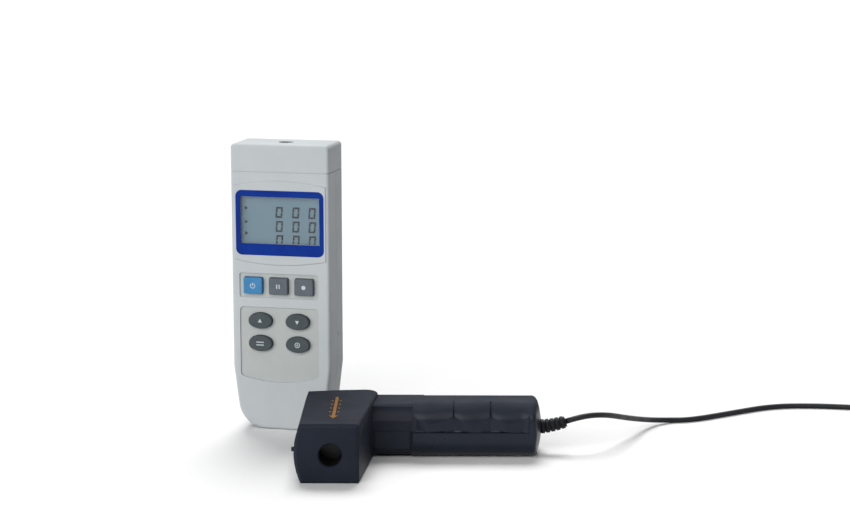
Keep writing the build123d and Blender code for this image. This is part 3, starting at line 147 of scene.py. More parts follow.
def map_range(tree, value, source, target=(0.0, 1.0), interpolation="LINEAR"):
    """Value, taken from the source range to the target range."""
    node = tree.nodes.new("ShaderNodeMapRange")
    node.interpolation_type = interpolation
    for name, number in zip(("From Min", "From Max", "To Min", "To Max"), (*source, *target)):
        node.inputs[name].default_value = number
    tree.links.new(value, node.inputs["Value"])
    return node.outputs["Result"]


def fade(tree, value, start, end):
    """A soft step: 0 where value is at start, 1 at end."""
    return map_range(tree, value, (start, end), interpolation="SMOOTHSTEP")


# Materials

# Where in the noise the dark tone ends and the light one begins, and the same for roughness
TONE_BAND = (0.3, 0.7)
ROUGHNESS_BAND = (0.25, 0.75)
# The noise of the roughness is this much finer than that of the tone
ROUGHNESS_FINER = 2.3
# Detail and roughness of the noise itself, of clouds and of all else
CLOUD_NOISE = (4.0, 0.6)
FINE_NOISE = (2.0, 0.5)


def finish(name, dark, light, roughness, cloud, grain=None, swell=None, **sockets):
    """A procedural finish: cloudy tone between two colours, varied roughness, and a fine grain.

    dark and light are colours as seen on a screen; cloud is the scale of the clouds; grain and
    swell are (scale, strength, distance) of the fine and the broad unevenness.
    """
    material = bpy.data.materials.new(name)
    material.use_nodes = True
    tree = material.node_tree
    shader = tree.nodes["Principled BSDF"]
    place = tree.nodes.new("ShaderNodeTexCoord").outputs["Object"]
    ramp = tree.nodes.new("ShaderNodeValToRGB")
    for element, position, tone in zip(ramp.color_ramp.elements, TONE_BAND, (dark, light)):
        element.position = position
        element.color = srgb(*tone)
    tree.links.new(noise_node(tree, place, cloud, *CLOUD_NOISE), ramp.inputs["Fac"])
    tree.links.new(ramp.outputs["Color"], shader.inputs["Base Color"])
    spread = noise_node(tree, place, cloud * ROUGHNESS_FINER, *FINE_NOISE)
    rough = map_range(tree, spread, ROUGHNESS_BAND, roughness)
    tree.links.new(rough, shader.inputs["Roughness"])
    normal = None
    for unevenness in (swell, grain):
        if unevenness:
            scale, strength, distance = unevenness
            height = noise_node(tree, place, scale, *FINE_NOISE)
            normal = add_bump(tree, height, strength, distance, normal)
    if normal is not None:
        tree.links.new(normal, shader.inputs["Normal"])
    for socket, value in sockets.items():
        shader.inputs[socket.replace("_", " ")].default_value = value
    return material


FINE_GRAIN = (2600.0, 0.16, 0.00012)
SOFT_GRAIN = (1500.0, 0.25, 0.00015)
PROBE_GRAIN = (2100.0, 0.3, 0.00014)
CORD_GRAIN = (900.0, 0.2, 0.0002)
SHRINKAGE = (55.0, 0.12, 0.0006)

shell_grey = finish(
    "shell_grey", (188, 194, 197), (197, 202, 205), (0.5, 0.6), 22.0, FINE_GRAIN, SHRINKAGE,
    Specular_IOR_Level=0.22,
)
field_grey = finish("field_grey", (177, 183, 181), (184, 189, 188), (0.46, 0.56), 60.0, FINE_GRAIN)
bezel_blue = finish(
    "bezel_blue", (0, 42, 134), (2, 50, 144), (0.36, 0.46), 70.0, FINE_GRAIN,
    Specular_IOR_Level=0.1,
)
lcd_green = finish(
    "lcd_green", (90, 118, 132), (99, 128, 142), (0.3, 0.4), 34.0, Specular_IOR_Level=0.2
)
lcd_ink = finish("lcd_ink", (8, 14, 22), (14, 22, 32), (0.4, 0.5), 90.0, Specular_IOR_Level=0.1)
key_blue = finish(
    "key_blue", (58, 129, 179), (70, 139, 189), (0.4, 0.52), 120.0, SOFT_GRAIN,
    Specular_IOR_Level=0.2,
)
key_grey = finish(
    "key_grey", (91, 98, 106), (101, 108, 116), (0.46, 0.58), 120.0, SOFT_GRAIN,
    Specular_IOR_Level=0.2,
)
oval_grey = finish(
    "oval_grey", (68, 76, 80), (77, 85, 89), (0.46, 0.58), 120.0, SOFT_GRAIN,
    Specular_IOR_Level=0.2,
)
legend_white = finish(
    "legend_white", (196, 204, 208), (208, 214, 218), (0.45, 0.55), 200.0, Specular_IOR_Level=0.2
)
mark_orange = finish(
    "mark_orange", (138, 92, 26), (158, 108, 34), (0.5, 0.6), 300.0, Specular_IOR_Level=0.1
)
PROBE_FINISH = ((24, 29, 40), (32, 38, 50), (0.44, 0.54), 26.0, PROBE_GRAIN, SHRINKAGE)
probe_black = finish("probe_black", *PROBE_FINISH, Specular_IOR_Level=0.13)
grip_black = finish("grip_black", *PROBE_FINISH, Specular_IOR_Level=0.2)
tube_black = finish(
    "tube_black", (10, 10, 12), (16, 16, 19), (0.6, 0.75), 80.0, FINE_GRAIN,
    Specular_IOR_Level=0.2,
)
rubber_black = finish(
    "rubber_black", (14, 15, 19), (22, 23, 28), (0.5, 0.66), 90.0, SOFT_GRAIN,
    Specular_IOR_Level=0.25,
)
cord_black = finish(
    "cord_black", (15, 16, 20), (24, 25, 30), (0.42, 0.58), 70.0, CORD_GRAIN,
    Specular_IOR_Level=0.3,
)
rubber_grey = finish(
    "rubber_grey", (146, 148, 148), (160, 162, 162), (0.6, 0.7), 60.0, SOFT_GRAIN
)
board_green = finish("board_green", (18, 88, 48), (26, 106, 60), (0.3, 0.42), 150.0, FINE_GRAIN)
chip_black = finish("chip_black", (30, 30, 32), (42, 42, 44), (0.45, 0.6), 140.0, FINE_GRAIN)
nickel = finish(
    "nickel", (176, 174, 168), (196, 194, 188), (0.2, 0.34), 160.0, FINE_GRAIN, Metallic=1.0
)
gold = finish(
    "gold", (206, 166, 92), (222, 184, 110), (0.22, 0.36), 160.0, FINE_GRAIN, Metallic=1.0
)
brass = finish(
    "brass", (186, 156, 92), (204, 174, 108), (0.26, 0.42), 120.0, FINE_GRAIN, Metallic=1.0
)
steel = finish(
    "steel", (160, 162, 166), (182, 184, 188), (0.28, 0.44), 140.0, FINE_GRAIN, Metallic=1.0
)
cell_grey = finish(
    "cell_grey", (92, 94, 98), (110, 112, 116), (0.3, 0.42), 50.0, FINE_GRAIN, Metallic=0.7
)
trimmer_blue = finish(
    "trimmer_blue", (30, 70, 150), (40, 84, 168), (0.35, 0.45), 120.0, FINE_GRAIN
)
lamp_white = finish("lamp_white", (226, 226, 216), (238, 238, 230), (0.2, 0.3), 200.0)
optic_grey = finish(
    "optic_grey", (12, 13, 16), (20, 22, 26), (0.3, 0.4), 120.0, Specular_IOR_Level=0.3
)
clear_lens = finish(
    "clear_lens", (244, 248, 250), (250, 252, 252), (0.02, 0.05), 60.0,
    Transmission_Weight=1.0, IOR=1.49,
)

# The grip's gloss, by x along the handle and by height z: where the fingers hold it it is
# smoother, on top it is rougher, fading in from the first to the second of each pair
HELD_X = (0.049, 0.053)
HELD_Z = (0.034, 0.028)
HELD_SMOOTHER = 0.18
MATT_Z = (0.030, 0.036)
MATT_ROUGHER = 0.34


def vary_grip_gloss(material):
    """Makes the grip smoother where the fingers hold it, and the handle more matt on top."""
    tree = material.node_tree
    shader = tree.nodes["Principled BSDF"]
    lay = tree.nodes.new("ShaderNodeMapping")
    lay.vector_type = "TEXTURE"
    lay.inputs["Location"].default_value = PROBE_PLACE.translation
    lay.inputs["Rotation"].default_value = PROBE_PLACE.to_euler()
    tree.links.new(tree.nodes.new("ShaderNodeTexCoord").outputs["Object"], lay.inputs["Vector"])
    split = tree.nodes.new("ShaderNodeSeparateXYZ")
    tree.links.new(lay.outputs["Vector"], split.inputs["Vector"])
    x, z = split.outputs["X"], split.outputs["Z"]
    held = calculate(tree, "MULTIPLY", fade(tree, x, *HELD_X), fade(tree, z, *HELD_Z))
    smoother = calculate(tree, "MULTIPLY", held, HELD_SMOOTHER)
    rougher = calculate(tree, "MULTIPLY", fade(tree, z, *MATT_Z), MATT_ROUGHER)
    rough = shader.inputs["Roughness"].links[0].from_socket
    rough = calculate(tree, "SUBTRACT", rough, smoother)
    rough = calculate(tree, "ADD", rough, rougher)
    tree.links.new(rough, shader.inputs["Roughness"])


vary_grip_gloss(grip_black)

NODE_MATERIALS = {
    shell_grey: ["front_shell", "rear_shell", "top_cap", "battery_door", "tilt_stand"],
    bezel_blue: ["display_bezel"],
    clear_lens: ["display_lens"],
    lcd_green: ["lcd_glass"],
    chip_black: ["lcd_holder", "board_components", "battery_snap", "socket_insert"],
    rubber_grey: ["contact_strips", "keypad_mat"],
    board_green: ["main_board", "sensor_board"],
    nickel: ["socket_shell", "plug_shell"],
    trimmer_blue: ["trimmer_body"],
    brass: ["trimmer_screw", "tripod_insert"],
    gold: ["plug_pins"],
    cell_grey: ["battery"],
    steel: ["stand_pin", "case_screws", "probe_screws"],
    key_blue: ["power_key"],
    key_grey: ["hold_key", "record_key"],
    oval_grey: ["upper_left_key", "upper_right_key", "lower_left_key", "lower_right_key"],
    grip_black: ["probe_lower_shell", "end_cap"],
    probe_black: ["nose_plate"],
    tube_black: ["aperture_tube", "color_sensor"],
    optic_grey: ["optic"],
    lamp_white: ["lamps"],
    rubber_black: ["plug_grip"],
}
for node_material, node_names in NODE_MATERIALS.items():
    for node_name in node_names:
        for material_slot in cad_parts[node_name].material_slots:
            material_slot.material = node_material
# Light reaches the display through its window
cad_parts["display_lens"].visible_shadow = False
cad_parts["display_lens"].visible_diffuse = False


# Making pieces. Flat outlines and their thickness are in millimetres, profiles and lines in metres.

MERGE_REACH = 1e-6
CIRCLE_STEPS = 40
ARC_STEPS = 12
CORNER_STEPS = 6


def in_metres(points):
    return [(first * MM, second * MM) for first, second in points]


def new_piece(name, mesh, material, smooth=True):
    """A mesh as an object of the scene."""
    piece = bpy.data.objects.new(name, mesh)
    bpy.context.collection.objects.link(piece)
    mesh.materials.clear()
    mesh.materials.append(material)
    for face in mesh.polygons:
        face.use_smooth = smooth
    return piece


def drawn_mesh(name, curve):
    """The mesh of a drawn curve. The curve itself is removed."""
    drawing = bpy.data.objects.new(name, curve)
    bpy.context.collection.objects.link(drawing)
    bpy.context.view_layer.update()
    evaluated = drawing.evaluated_get(bpy.context.evaluated_depsgraph_get())
    mesh = bpy.data.meshes.new_from_object(evaluated)
    bpy.data.objects.remove(drawing)
    bpy.data.curves.remove(curve)
    return mesh


def facing_front(y):
    """A drawing plane on the display unit's front: x to the right, y upwards, and out of it."""
    return Matrix.Translation((0, y, 0)) @ Matrix.Rotation(math.radians(90), 4, "X")


def flat_piece(name, outlines, thickness, place, material):
    """Closed outlines in the plane of place, filled between them and raised by thickness."""
    curve = bpy.data.curves.new(name, "CURVE")
    curve.dimensions = "2D"
    curve.fill_mode = "BOTH"
    curve.extrude = thickness * MM / 2
    for outline in outlines:
        spline = curve.splines.new("POLY")
        spline.points.add(len(outline) - 1)
        for point, (x, y) in zip(spline.points, in_metres(outline)):
            point.co = (x, y, 0, 1)
        spline.use_cyclic_u = True
    mesh = drawn_mesh(name + "_drawing", curve)
    mesh.transform(place @ Matrix.Translation((0, 0, thickness * MM / 2)))
    weld(mesh)
    return new_piece(name, mesh, material, smooth=False)


def weld(mesh):
    """Joins the points that lie on each other, so that the mesh is closed."""
    work = bmesh.new()
    work.from_mesh(mesh)
    bmesh.ops.remove_doubles(work, verts=work.verts, dist=MERGE_REACH)
    bmesh.ops.recalc_face_normals(work, faces=work.faces)
    work.to_mesh(mesh)
    work.free()


def circle(radius):
    turns = [2 * math.pi * n / CIRCLE_STEPS for n in range(CIRCLE_STEPS)]
    return [(radius * math.cos(t), radius * math.sin(t)) for t in turns]


def oval(x, z, far, high):
    """An oval of four tangent arcs, as its key has; far and high are half its width and height."""
    end_radius = high * OVAL_END_SHARE
    end_x = far - end_radius
    rest = high - end_radius
    drop = (end_x * end_x - rest * rest) / (2 * rest)
    join = math.atan2(drop, end_x)
    outline = []
    for middle_x, middle_z, radius, first, last in (
        (end_x, 0, end_radius, -join, join),
        (0, -drop, high + drop, join, math.pi - join),
        (-end_x, 0, end_radius, math.pi - join, math.pi + join),
        (0, drop, high + drop, math.pi + join, 2 * math.pi - join),
    ):
        for n in range(ARC_STEPS):
            turn = first + (last - first) * n / ARC_STEPS
            outline.append((
                x + middle_x + radius * math.cos(turn), z + middle_z + radius * math.sin(turn),
            ))
    return outline


def rounded(corners, radius):
    """A polygon, given counterclockwise, with its corners rounded."""
    outline = []
    for n, corner in enumerate(corners):
        here = Vector(corner)
        before = (Vector(corners[n - 1]) - here).normalized()
        after = (Vector(corners[(n + 1) % len(corners)]) - here).normalized()
        half = before.angle(after) / 2
        reach = radius / math.tan(half)
        centre = here + (before + after).normalized() * radius / math.sin(half)
        first = here + before * reach - centre
        last = here + after * reach - centre
        sweep = first.angle_signed(last)
        for step in range(CORNER_STEPS + 1):
            spoke = first.copy()
            spoke.rotate(Matrix.Rotation(-sweep * step / CORNER_STEPS, 2))
            outline.append(tuple(centre + spoke))
    return outline


def rectangle(x, y, width, height, radius=0.0):
    w, h = width / 2, height / 2
    corners = [(x - w, y - h), (x + w, y - h), (x + w, y + h), (x - w, y + h)]
    return rounded(corners, radius) if radius else corners


def turned(name, profile, line, material, sides):
    """A closed form turned round a line.

    profile lists (distance along the line, radius) in metres; line gives, for a distance, the
    line's point there and two directions across it.
    """
    mesh = bpy.data.meshes.new(name)
    work = bmesh.new()
    turns = [2 * math.pi * n / sides for n in range(sides)]
    rings = []
    for along, radius in profile:
        middle, across, up = line(along)
        rings.append([
            work.verts.new(middle + (across * math.cos(t) + up * math.sin(t)) * radius)
            for t in turns
        ])
    for first, second in zip(rings, rings[1:]):
        for n in range(sides):
            m = (n + 1) % sides
            work.faces.new((first[n], first[m], second[m], second[n]))
    work.faces.new(rings[0])
    work.faces.new(reversed(rings[-1]))
    bmesh.ops.recalc_face_normals(work, faces=work.faces)
    work.to_mesh(mesh)
    work.free()
    return new_piece(name, mesh, material)


def straight_line(foot, way, across, up):
    """A straight line for turned()."""
    return lambda along: (foot + way * along, across, up)


def line_frames(points):
    """Each point of a line with two directions across it, turned as little as possible."""
    ways = []
    for n in range(len(points)):
        ahead = points[min(n + 1, len(points) - 1)] - points[max(n - 1, 0)]
        ways.append(ahead.normalized())
    across = ways[0].orthogonal().normalized()
    frames = []
    for point, way in zip(points, ways):
        across = (across - way * across.dot(way)).normalized()
        frames.append((point, across, way.cross(across)))
    return frames


def tube(name, points, radius, material, sides):
    """A round tube along a line of points."""
    frames = line_frames(points)
    profile = [(n, radius) for n in range(len(points))]
    return turned(name, profile, lambda n: frames[n], material, sides)


# Cord: the lead's route and the coil's turns, all on one smooth line

CORD_DIAMETER = 3.8 * MM
CORD_Z = CORD_DIAMETER / 2
CORD_SIDES = 14
ROUTE_RESOLUTION = 6
# The strain relief's centreline: its rise where it leaves the grip, its bend, where the cord starts
RELIEF_SLOPE = 0.087
RELIEF_BEND = 7.53
RELIEF_REACH = 16.63 * MM
# The cord leaves the relief straight for this many millimetres, then goes by these points
LEAD_START = 12.0
LEAD_POINTS = [
    (0.2292, -0.0196, 0.0244),
    (0.2399, 0.0108, 0.0150),
    (0.2505, 0.0472, 0.0050),
    (0.2633, 0.0618, CORD_Z),
    (0.2799, 0.0667, CORD_Z),
    (0.3063, 0.0932, CORD_Z),
    (0.3334, 0.1199, CORD_Z),
    (0.3643, 0.1282, CORD_Z),
    (0.3990, 0.1295, CORD_Z),
    (0.4202, 0.1295, CORD_Z),
]
# The coil, counted in quarter turns: inwards on the floor, then outwards in a second layer
COIL_MIDDLE = Vector((424.0, 157.0, 0)) * MM
COIL_RADIUS = 27.5 * MM
COIL_STEP = 1.1 * MM
COIL_QUARTERS = 21
COIL_REVERSAL = 11
COIL_CLIMB = (10, 12)
COIL_LAYER = 4.3 * MM
COIL_TAIL = 11.0 * MM
POINTS_PER_QUARTER = 4

# Strain relief, in millimetres: its foot inside the grip's end, its ribs and its tip. A rib lists
# (distance from its start, depth below its top); the tops start wide and lose 0.75 in 17 mm.
RELIEF_LENGTH = 16.6
RELIEF_WIDE = 4.85
RELIEF_NARROWING = (0.75, 17.0)
RELIEF_FOOT = [(-2.4, 4.5), (0.1, 4.5), (0.15, 4.75)]
RELIEF_RIBS = 5
RELIEF_RIB = [(0.3, 0.0), (1.9, 0.0), (2.15, 0.25), (2.2, 0.8), (2.95, 0.85), (3.0, 0.3)]
RELIEF_TIP = [(16.5, 3.5), (RELIEF_LENGTH, 2.4), (15.4, 1.9)]
# Plug boot, in millimetres: it widens from the cord towards the plug
BOOT_LENGTH = 13.0
BOOT_SMALL = 2.4
BOOT_WIDENING = 2.4
BOOT_WIDE = 5.0
BOOT_RIBS = 4
BOOT_FIRST_RIB = 2.0
BOOT_PITCH = 2.4
BOOT_RIB = [(0.0, 0.0), (0.1, 0.5), (1.0, 0.4), (1.1, -0.2)]
SLEEVE_SIDES = 28


def relief_line(along):
    """The strain relief's centreline, past the grip's end and curving up to its tip."""
    reach = max(along, 0.0)
    slope = RELIEF_SLOPE if along > 0 else 0.0
    rise = RELIEF_Z + slope * reach + RELIEF_BEND * reach * reach
    way = Vector((1, 0, slope + 2 * RELIEF_BEND * reach)).normalized()
    turn = PROBE_PLACE.to_3x3()
    return PROBE_PLACE @ Vector((GRIP_TIP + along, 0, rise)), turn @ AWAY, turn @ way.cross(AWAY)


def coil_point(quarter):
    """The coil's line after so many quarter turns.

    The points stand a little outside the turns that they draw.
    """
    angle = math.radians(-90 + 90 * quarter)
    inward = min(quarter, COIL_REVERSAL)
    outward = max(quarter - COIL_REVERSAL, 0)
    radius = COIL_RADIUS - COIL_STEP * inward + COIL_STEP * outward
    if quarter < COIL_QUARTERS:
        radius /= math.cos(math.radians(90 / POINTS_PER_QUARTER / 2))
    z = CORD_Z + COIL_LAYER * smooth_step(quarter, *COIL_CLIMB)
    return COIL_MIDDLE + Vector((radius * math.cos(angle), radius * math.sin(angle), z))


def smooth_line(points, resolution):
    """The points that a smooth curve through a route passes, read from the curve itself."""
    curve = bpy.data.curves.new("route", "CURVE")
    curve.dimensions = "3D"
    curve.resolution_u = resolution
    spline = curve.splines.new("NURBS")
    spline.points.add(len(points) - 1)
    for point, place in zip(spline.points, points):
        point.co = (*place, 1)
    spline.order_u = 3
    spline.use_endpoint_u = True
    mesh = drawn_mesh("route", curve)
    line = [vertex.co.copy() for vertex in mesh.vertices]
    bpy.data.meshes.remove(mesh)
    return line


def ribs(starts, radius_at, rib):
    """A row of ribs, all with the same outline, whose tops follow radius_at."""
    return [
        (start + along, radius_at(start) - depth) for start in starts for along, depth in rib
    ]


def relief_radius(along):
    loss, length = RELIEF_NARROWING
    return RELIEF_WIDE - loss * along / length


def boot_radius(along):
    return BOOT_SMALL + BOOT_WIDENING * along / BOOT_LENGTH


def relief_sleeve():
    """The ribbed sleeve that the cord leaves the grip through, bent up a little by the cord."""
    pitch = RELIEF_LENGTH / RELIEF_RIBS
    rib_starts = [n * pitch for n in range(RELIEF_RIBS)]
    # The last rib ends in the tip
    profile = RELIEF_FOOT + ribs(rib_starts, relief_radius, RELIEF_RIB)[:-2] + RELIEF_TIP
    relief = turned(
        "strain_relief_sleeve", in_metres(profile), relief_line, rubber_black, SLEEVE_SIDES
    )
    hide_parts("strain_relief")
    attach(relief, "probe")


def plug_boot(cord_end):
    """The plug's ribbed boot, from the end of the cord towards the pins."""
    rib_starts = [BOOT_FIRST_RIB + n * BOOT_PITCH for n in range(BOOT_RIBS)]
    profile = [(0.0, BOOT_SMALL)] + ribs(rib_starts, boot_radius, BOOT_RIB)
    profile.append((BOOT_LENGTH, BOOT_WIDE))
    plug_line = straight_line(cord_end, AWAY, RIGHT, UP)
    boot = turned("plug_boot_sleeve", in_metres(profile), plug_line, rubber_black, SLEEVE_SIDES)
    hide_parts("plug_boot")
    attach(boot, "meter")
    return boot


def cord_pieces():
    """The cord, with the sleeve at its start and the boot at its end."""
    cord_exit, side, up = relief_line(RELIEF_REACH)
    cord_points = [cord_exit, cord_exit + side.cross(up) * LEAD_START * MM]
    cord_points += [Vector(point) for point in LEAD_POINTS]
    for step in range(1, COIL_QUARTERS * POINTS_PER_QUARTER + 1):
        cord_points.append(coil_point(step / POINTS_PER_QUARTER))
    coil_end = cord_points[-1]
    cord_end = coil_end + Vector((0, COIL_TAIL, 0))
    cord_points += [coil_end + Vector((0, COIL_TAIL / 2, 0)), cord_end]

    cord_line = smooth_line(cord_points, ROUTE_RESOLUTION)
    cord = tube("cord", cord_line, CORD_DIAMETER / 2, cord_black, CORD_SIDES)
    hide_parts("cord_lead", "cord_coil")

    relief_sleeve()
    boot = plug_boot(cord_end)

    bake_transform(cord)


# Display, in millimetres: nine figures and three pointers, just in front of the glass

DIGIT_X = (-1.2, 10.8, 22.5)
DIGIT_Z = (154.6, 144.7, 134.8)
DIGIT_WIDTH = 5.0
DIGIT_HEIGHT = 7.8
BAR = 1.3
BAR_GAP = 0.06
SLANT = 0.09
INK_THICKNESS = 0.06
POINTER_X = (-26.2, -23.6)
POINTER_Z = (157.0, 147.4, 139.4)
POINTER_HALF_HEIGHT = 1.4


def figure_bars(x, z):
    """A nought of six bars with fine gaps between them, leaning to the right."""
    far, high = DIGIT_WIDTH / 2, DIGIT_HEIGHT / 2
    near, low = far - BAR, high - BAR
    bars = []
    for side in (-1, 1):
        bars.append([
            (-far + BAR_GAP, side * high), (far - BAR_GAP, side * high),
            (near - BAR_GAP, side * low), (-near + BAR_GAP, side * low),
        ])
        for level in (-1, 1):
            top, bottom = level * (high - BAR_GAP), level * BAR_GAP
            bars.append([
                (side * far, top), (side * near, top - level * BAR),
                (side * near, bottom + level * BAR / 4), (side * far, bottom),
            ])
    return [[(x + px + SLANT * pz, z + pz) for px, pz in bar] for bar in bars]


def display_prints():
    figures = [bar for z in DIGIT_Z for x in DIGIT_X for bar in figure_bars(x, z)]
    left, tip = POINTER_X
    pointers = [
        [(left, z - POINTER_HALF_HEIGHT), (tip, z), (left, z + POINTER_HALF_HEIGHT)]
        for z in POINTER_Z
    ]
    for name, outlines in (("lcd_figures", figures), ("lcd_pointers", pointers)):
        piece = flat_piece(name, outlines, INK_THICKNESS, facing_front(GLASS_Y), lcd_ink)
        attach(piece, "meter")


# Key fields, in millimetres: a matt film on each sunk panel, cut out round the keys

KEYS_X = -1.3
SQUARE_PITCH = 18.4
SQUARE_ROW_Z = 103.0
OVAL_REACH = 13.5
UPPER_OVALS_Z = 78.2
LOWER_OVALS_Z = 62.0
SQUARE_KEYS = {
    "power_key": (KEYS_X - SQUARE_PITCH, SQUARE_ROW_Z),
    "hold_key": (KEYS_X, SQUARE_ROW_Z),
    "record_key": (KEYS_X + SQUARE_PITCH, SQUARE_ROW_Z),
}
OVAL_KEYS = {
    "upper_left_key": (KEYS_X - OVAL_REACH, UPPER_OVALS_Z),
    "upper_right_key": (KEYS_X + OVAL_REACH, UPPER_OVALS_Z),
    "lower_left_key": (KEYS_X - OVAL_REACH, LOWER_OVALS_Z),
    "lower_right_key": (KEYS_X + OVAL_REACH, LOWER_OVALS_Z),
}
# Width, height and corner radius of a square key; width and height of an oval one
SQUARE_KEY = (13.6, 11.6, 1.2)
OVAL_KEY = (17.0, 11.1)
# The radius of an oval's ends, as a share of half its height
OVAL_END_SHARE = 0.79
PANEL_HALF_WIDTH = 28.6
UPPER_PANEL_HEIGHT = 17.4
UPPER_FIELD_CORNER = 1.3
LOWER_PANEL_TOP = 87.7
LOWER_PANEL_FOOT = 38.2
LOWER_FIELD_SAG = 4.0
LOWER_FIELD_CORNER = 2.8
FOOT_STEPS = 8
FILM_THICKNESS = 0.12
FILM_GAP = 0.25
HOLE_GAP = 0.45


def upper_field():
    """The field round the square keys: its outline and its holes."""
    width, height, corner = SQUARE_KEY
    outlines = [rectangle(
        KEYS_X, SQUARE_ROW_Z, 2 * (PANEL_HALF_WIDTH - FILM_GAP),
        UPPER_PANEL_HEIGHT - 2 * FILM_GAP, UPPER_FIELD_CORNER,
    )]
    for x, z in SQUARE_KEYS.values():
        outlines.append(rectangle(
            x, z, width + 2 * HOLE_GAP, height + 2 * HOLE_GAP, corner + HOLE_GAP
        ))
    return outlines


def lower_field():
    """The field round the oval keys: its outline, whose foot sags in an arc, and its holes."""
    side = PANEL_HALF_WIDTH - FILM_GAP
    top = LOWER_PANEL_TOP - FILM_GAP
    low = LOWER_PANEL_FOOT + FILM_GAP
    sag, corner = LOWER_FIELD_SAG, LOWER_FIELD_CORNER
    arc_radius = (side * side + sag * sag) / (2 * sag)
    arc_middle = low - sag + arc_radius
    turns = [math.radians(90 * n / CORNER_STEPS) for n in range(CORNER_STEPS + 1)]
    right_half = []
    for n in range(FOOT_STEPS + 1):
        x = (side - corner) * n / FOOT_STEPS
        right_half.append((x, arc_middle - math.sqrt(arc_radius * arc_radius - x * x)))
    foot = right_half[-1][1]
    for t in turns[1:]:
        right_half.append((
            side - corner + corner * math.sin(t), foot + corner * (1 - math.cos(t)),
        ))
    for t in turns:
        right_half.append((side - corner * (1 - math.cos(t)), top - corner * (1 - math.sin(t))))
    left_half = [(-x, z) for x, z in reversed(right_half[1:])]
    outlines = [[(KEYS_X + x, z) for x, z in right_half + left_half]]
    width, height = OVAL_KEY
    for x, z in OVAL_KEYS.values():
        outlines.append(oval(x, z, width / 2 + HOLE_GAP, height / 2 + HOLE_GAP))
    return outlines


def field_films():
    fields = (("upper_field_film", upper_field()), ("lower_field_film", lower_field()))
    for name, outlines in fields:
        film = flat_piece(name, outlines, FILM_THICKNESS, facing_front(PANEL_Y), field_grey)
        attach(film, "meter")


# Legends, in millimetres: plain generic signs printed on the keys

LEGEND_THICKNESS = 0.05
RING_STEPS = 30


def triangle(z, size, turn):
    angles = [math.radians(turn + 120 * n) for n in range(3)]
    return [(size * math.cos(t), z + size * math.sin(t)) for t in angles]


def open_ring(radius, line, gap):
    """A ring with a gap at its top, gap degrees to each side."""
    sweep = 360 - 2 * gap
    turns = [math.radians(90 + gap + sweep * n / RING_STEPS) for n in range(RING_STEPS + 1)]
    outside = [(radius * math.cos(t), radius * math.sin(t)) for t in turns]
    inside = [((radius - line) * math.cos(t), (radius - line) * math.sin(t)) for t in turns]
    return outside + inside[::-1]


LEGENDS = {
    "power_key": [open_ring(1.9, 0.5, 28), rectangle(0, 1.1, 0.5, 2.1)],
    "hold_key": [rectangle(-0.9, 0, 0.8, 3.0), rectangle(0.9, 0, 0.8, 3.0)],
    "record_key": [circle(1.5)],
    "upper_left_key": [triangle(-0.25, 1.7, 90)],
    "upper_right_key": [triangle(0.25, 1.7, -90)],
    "lower_left_key": [rectangle(0, 1.0, 5.4, 0.7), rectangle(0, -1.0, 5.4, 0.7)],
    "lower_right_key": [circle(1.9), circle(1.4), circle(0.6)],
}


def key_legends():
    on_keys = facing_front(KEY_FACE_Y)
    for name, (x, z) in {**SQUARE_KEYS, **OVAL_KEYS}.items():
        outlines = [[(x + px, z + pz) for px, pz in outline] for outline in LEGENDS[name]]
        legend = flat_piece(name + "_legend", outlines, LEGEND_THICKNESS, on_keys, legend_white)
        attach(legend, name)


# Upper half of the sensor head: as in the CAD, with the grip's swells for the fingers worked out
# further. Places are in metres in the sensor head's own frame, in which the handle goes along X.

# Between two crests the front is hollowed this deep; a crest lies at this share of its swell
GRIP_HOLLOW = 1.3 * MM
GRIP_CREST = 0.3
# The swells lean along the handle, by this much for each metre above this height
GRIP_LEAN = 0.35
GRIP_LEAN_Z = 25.0 * MM
# The hollows fade in from the first to the second of each pair
HOLLOW_Y = (-0.010, -0.017)
HOLLOW_Z = (0.0360, 0.0290)
HOLLOW_START = 0.003
HOLLOW_END = 0.005
# The grip's front begins past this y and above this z, and faces along the handle less than this
GRIP_FRONT_Y = -0.008
GRIP_FRONT_Z = 0.0192
GRIP_FRONT_FACING = 0.9
# Cuts that divide the grip's front finely enough to be hollowed
CUTS_ALONG = 52
CUTS_UP = 18
CUTS_FOOT = 19.2
SHORT_EDGE = 5e-6
SHARP_ANGLE = math.radians(25)


def hollow(x, y, z):
    """How deep the grip's front is hollowed: not at all on a swell's crest."""
    leaning = x + GRIP_LEAN * (z - GRIP_LEAN_Z)
    ends = (GRIP_START, *GRIP_RIDGES, GRIP_END)
    height = 0.0
    for start, end in zip(ends, ends[1:]):
        crest = start + GRIP_CREST * (end - start)
        if start < leaning < end:
            foot = start if leaning < crest else end
            height = smooth_step(leaning, foot, crest)
    front = smooth_step(y, *HOLLOW_Y) * smooth_step(z, *HOLLOW_Z)
    inside_ends = (
        smooth_step(x, GRIP_START, GRIP_START + HOLLOW_START)
        * smooth_step(x, GRIP_END, GRIP_END - HOLLOW_END)
    )
    return GRIP_HOLLOW * (1 - height) * front * inside_ends


def grip_front(work):
    """The faces of the grip's outer surface on the aperture's side."""
    found = []
    for face in work.faces:
        middle, normal = face.calc_center_median(), face.normal
        along = GRIP_START < middle.x < GRIP_END and abs(normal.x) < GRIP_FRONT_FACING
        outward = normal.y * middle.y + normal.z * (middle.z - MIDDLE_Z)
        if along and outward > 0 and middle.y < GRIP_FRONT_Y and middle.z > GRIP_FRONT_Z:
            found.append(face)
    return found


def cut_grip(work, place, way):
    """Cuts the faces of the grip's front along a plane."""
    faces = grip_front(work)
    edges = dict.fromkeys(edge for face in faces for edge in face.edges)
    points = dict.fromkeys(point for face in faces for point in face.verts)
    bmesh.ops.bisect_plane(work, geom=[*faces, *edges, *points], plane_co=place, plane_no=way)


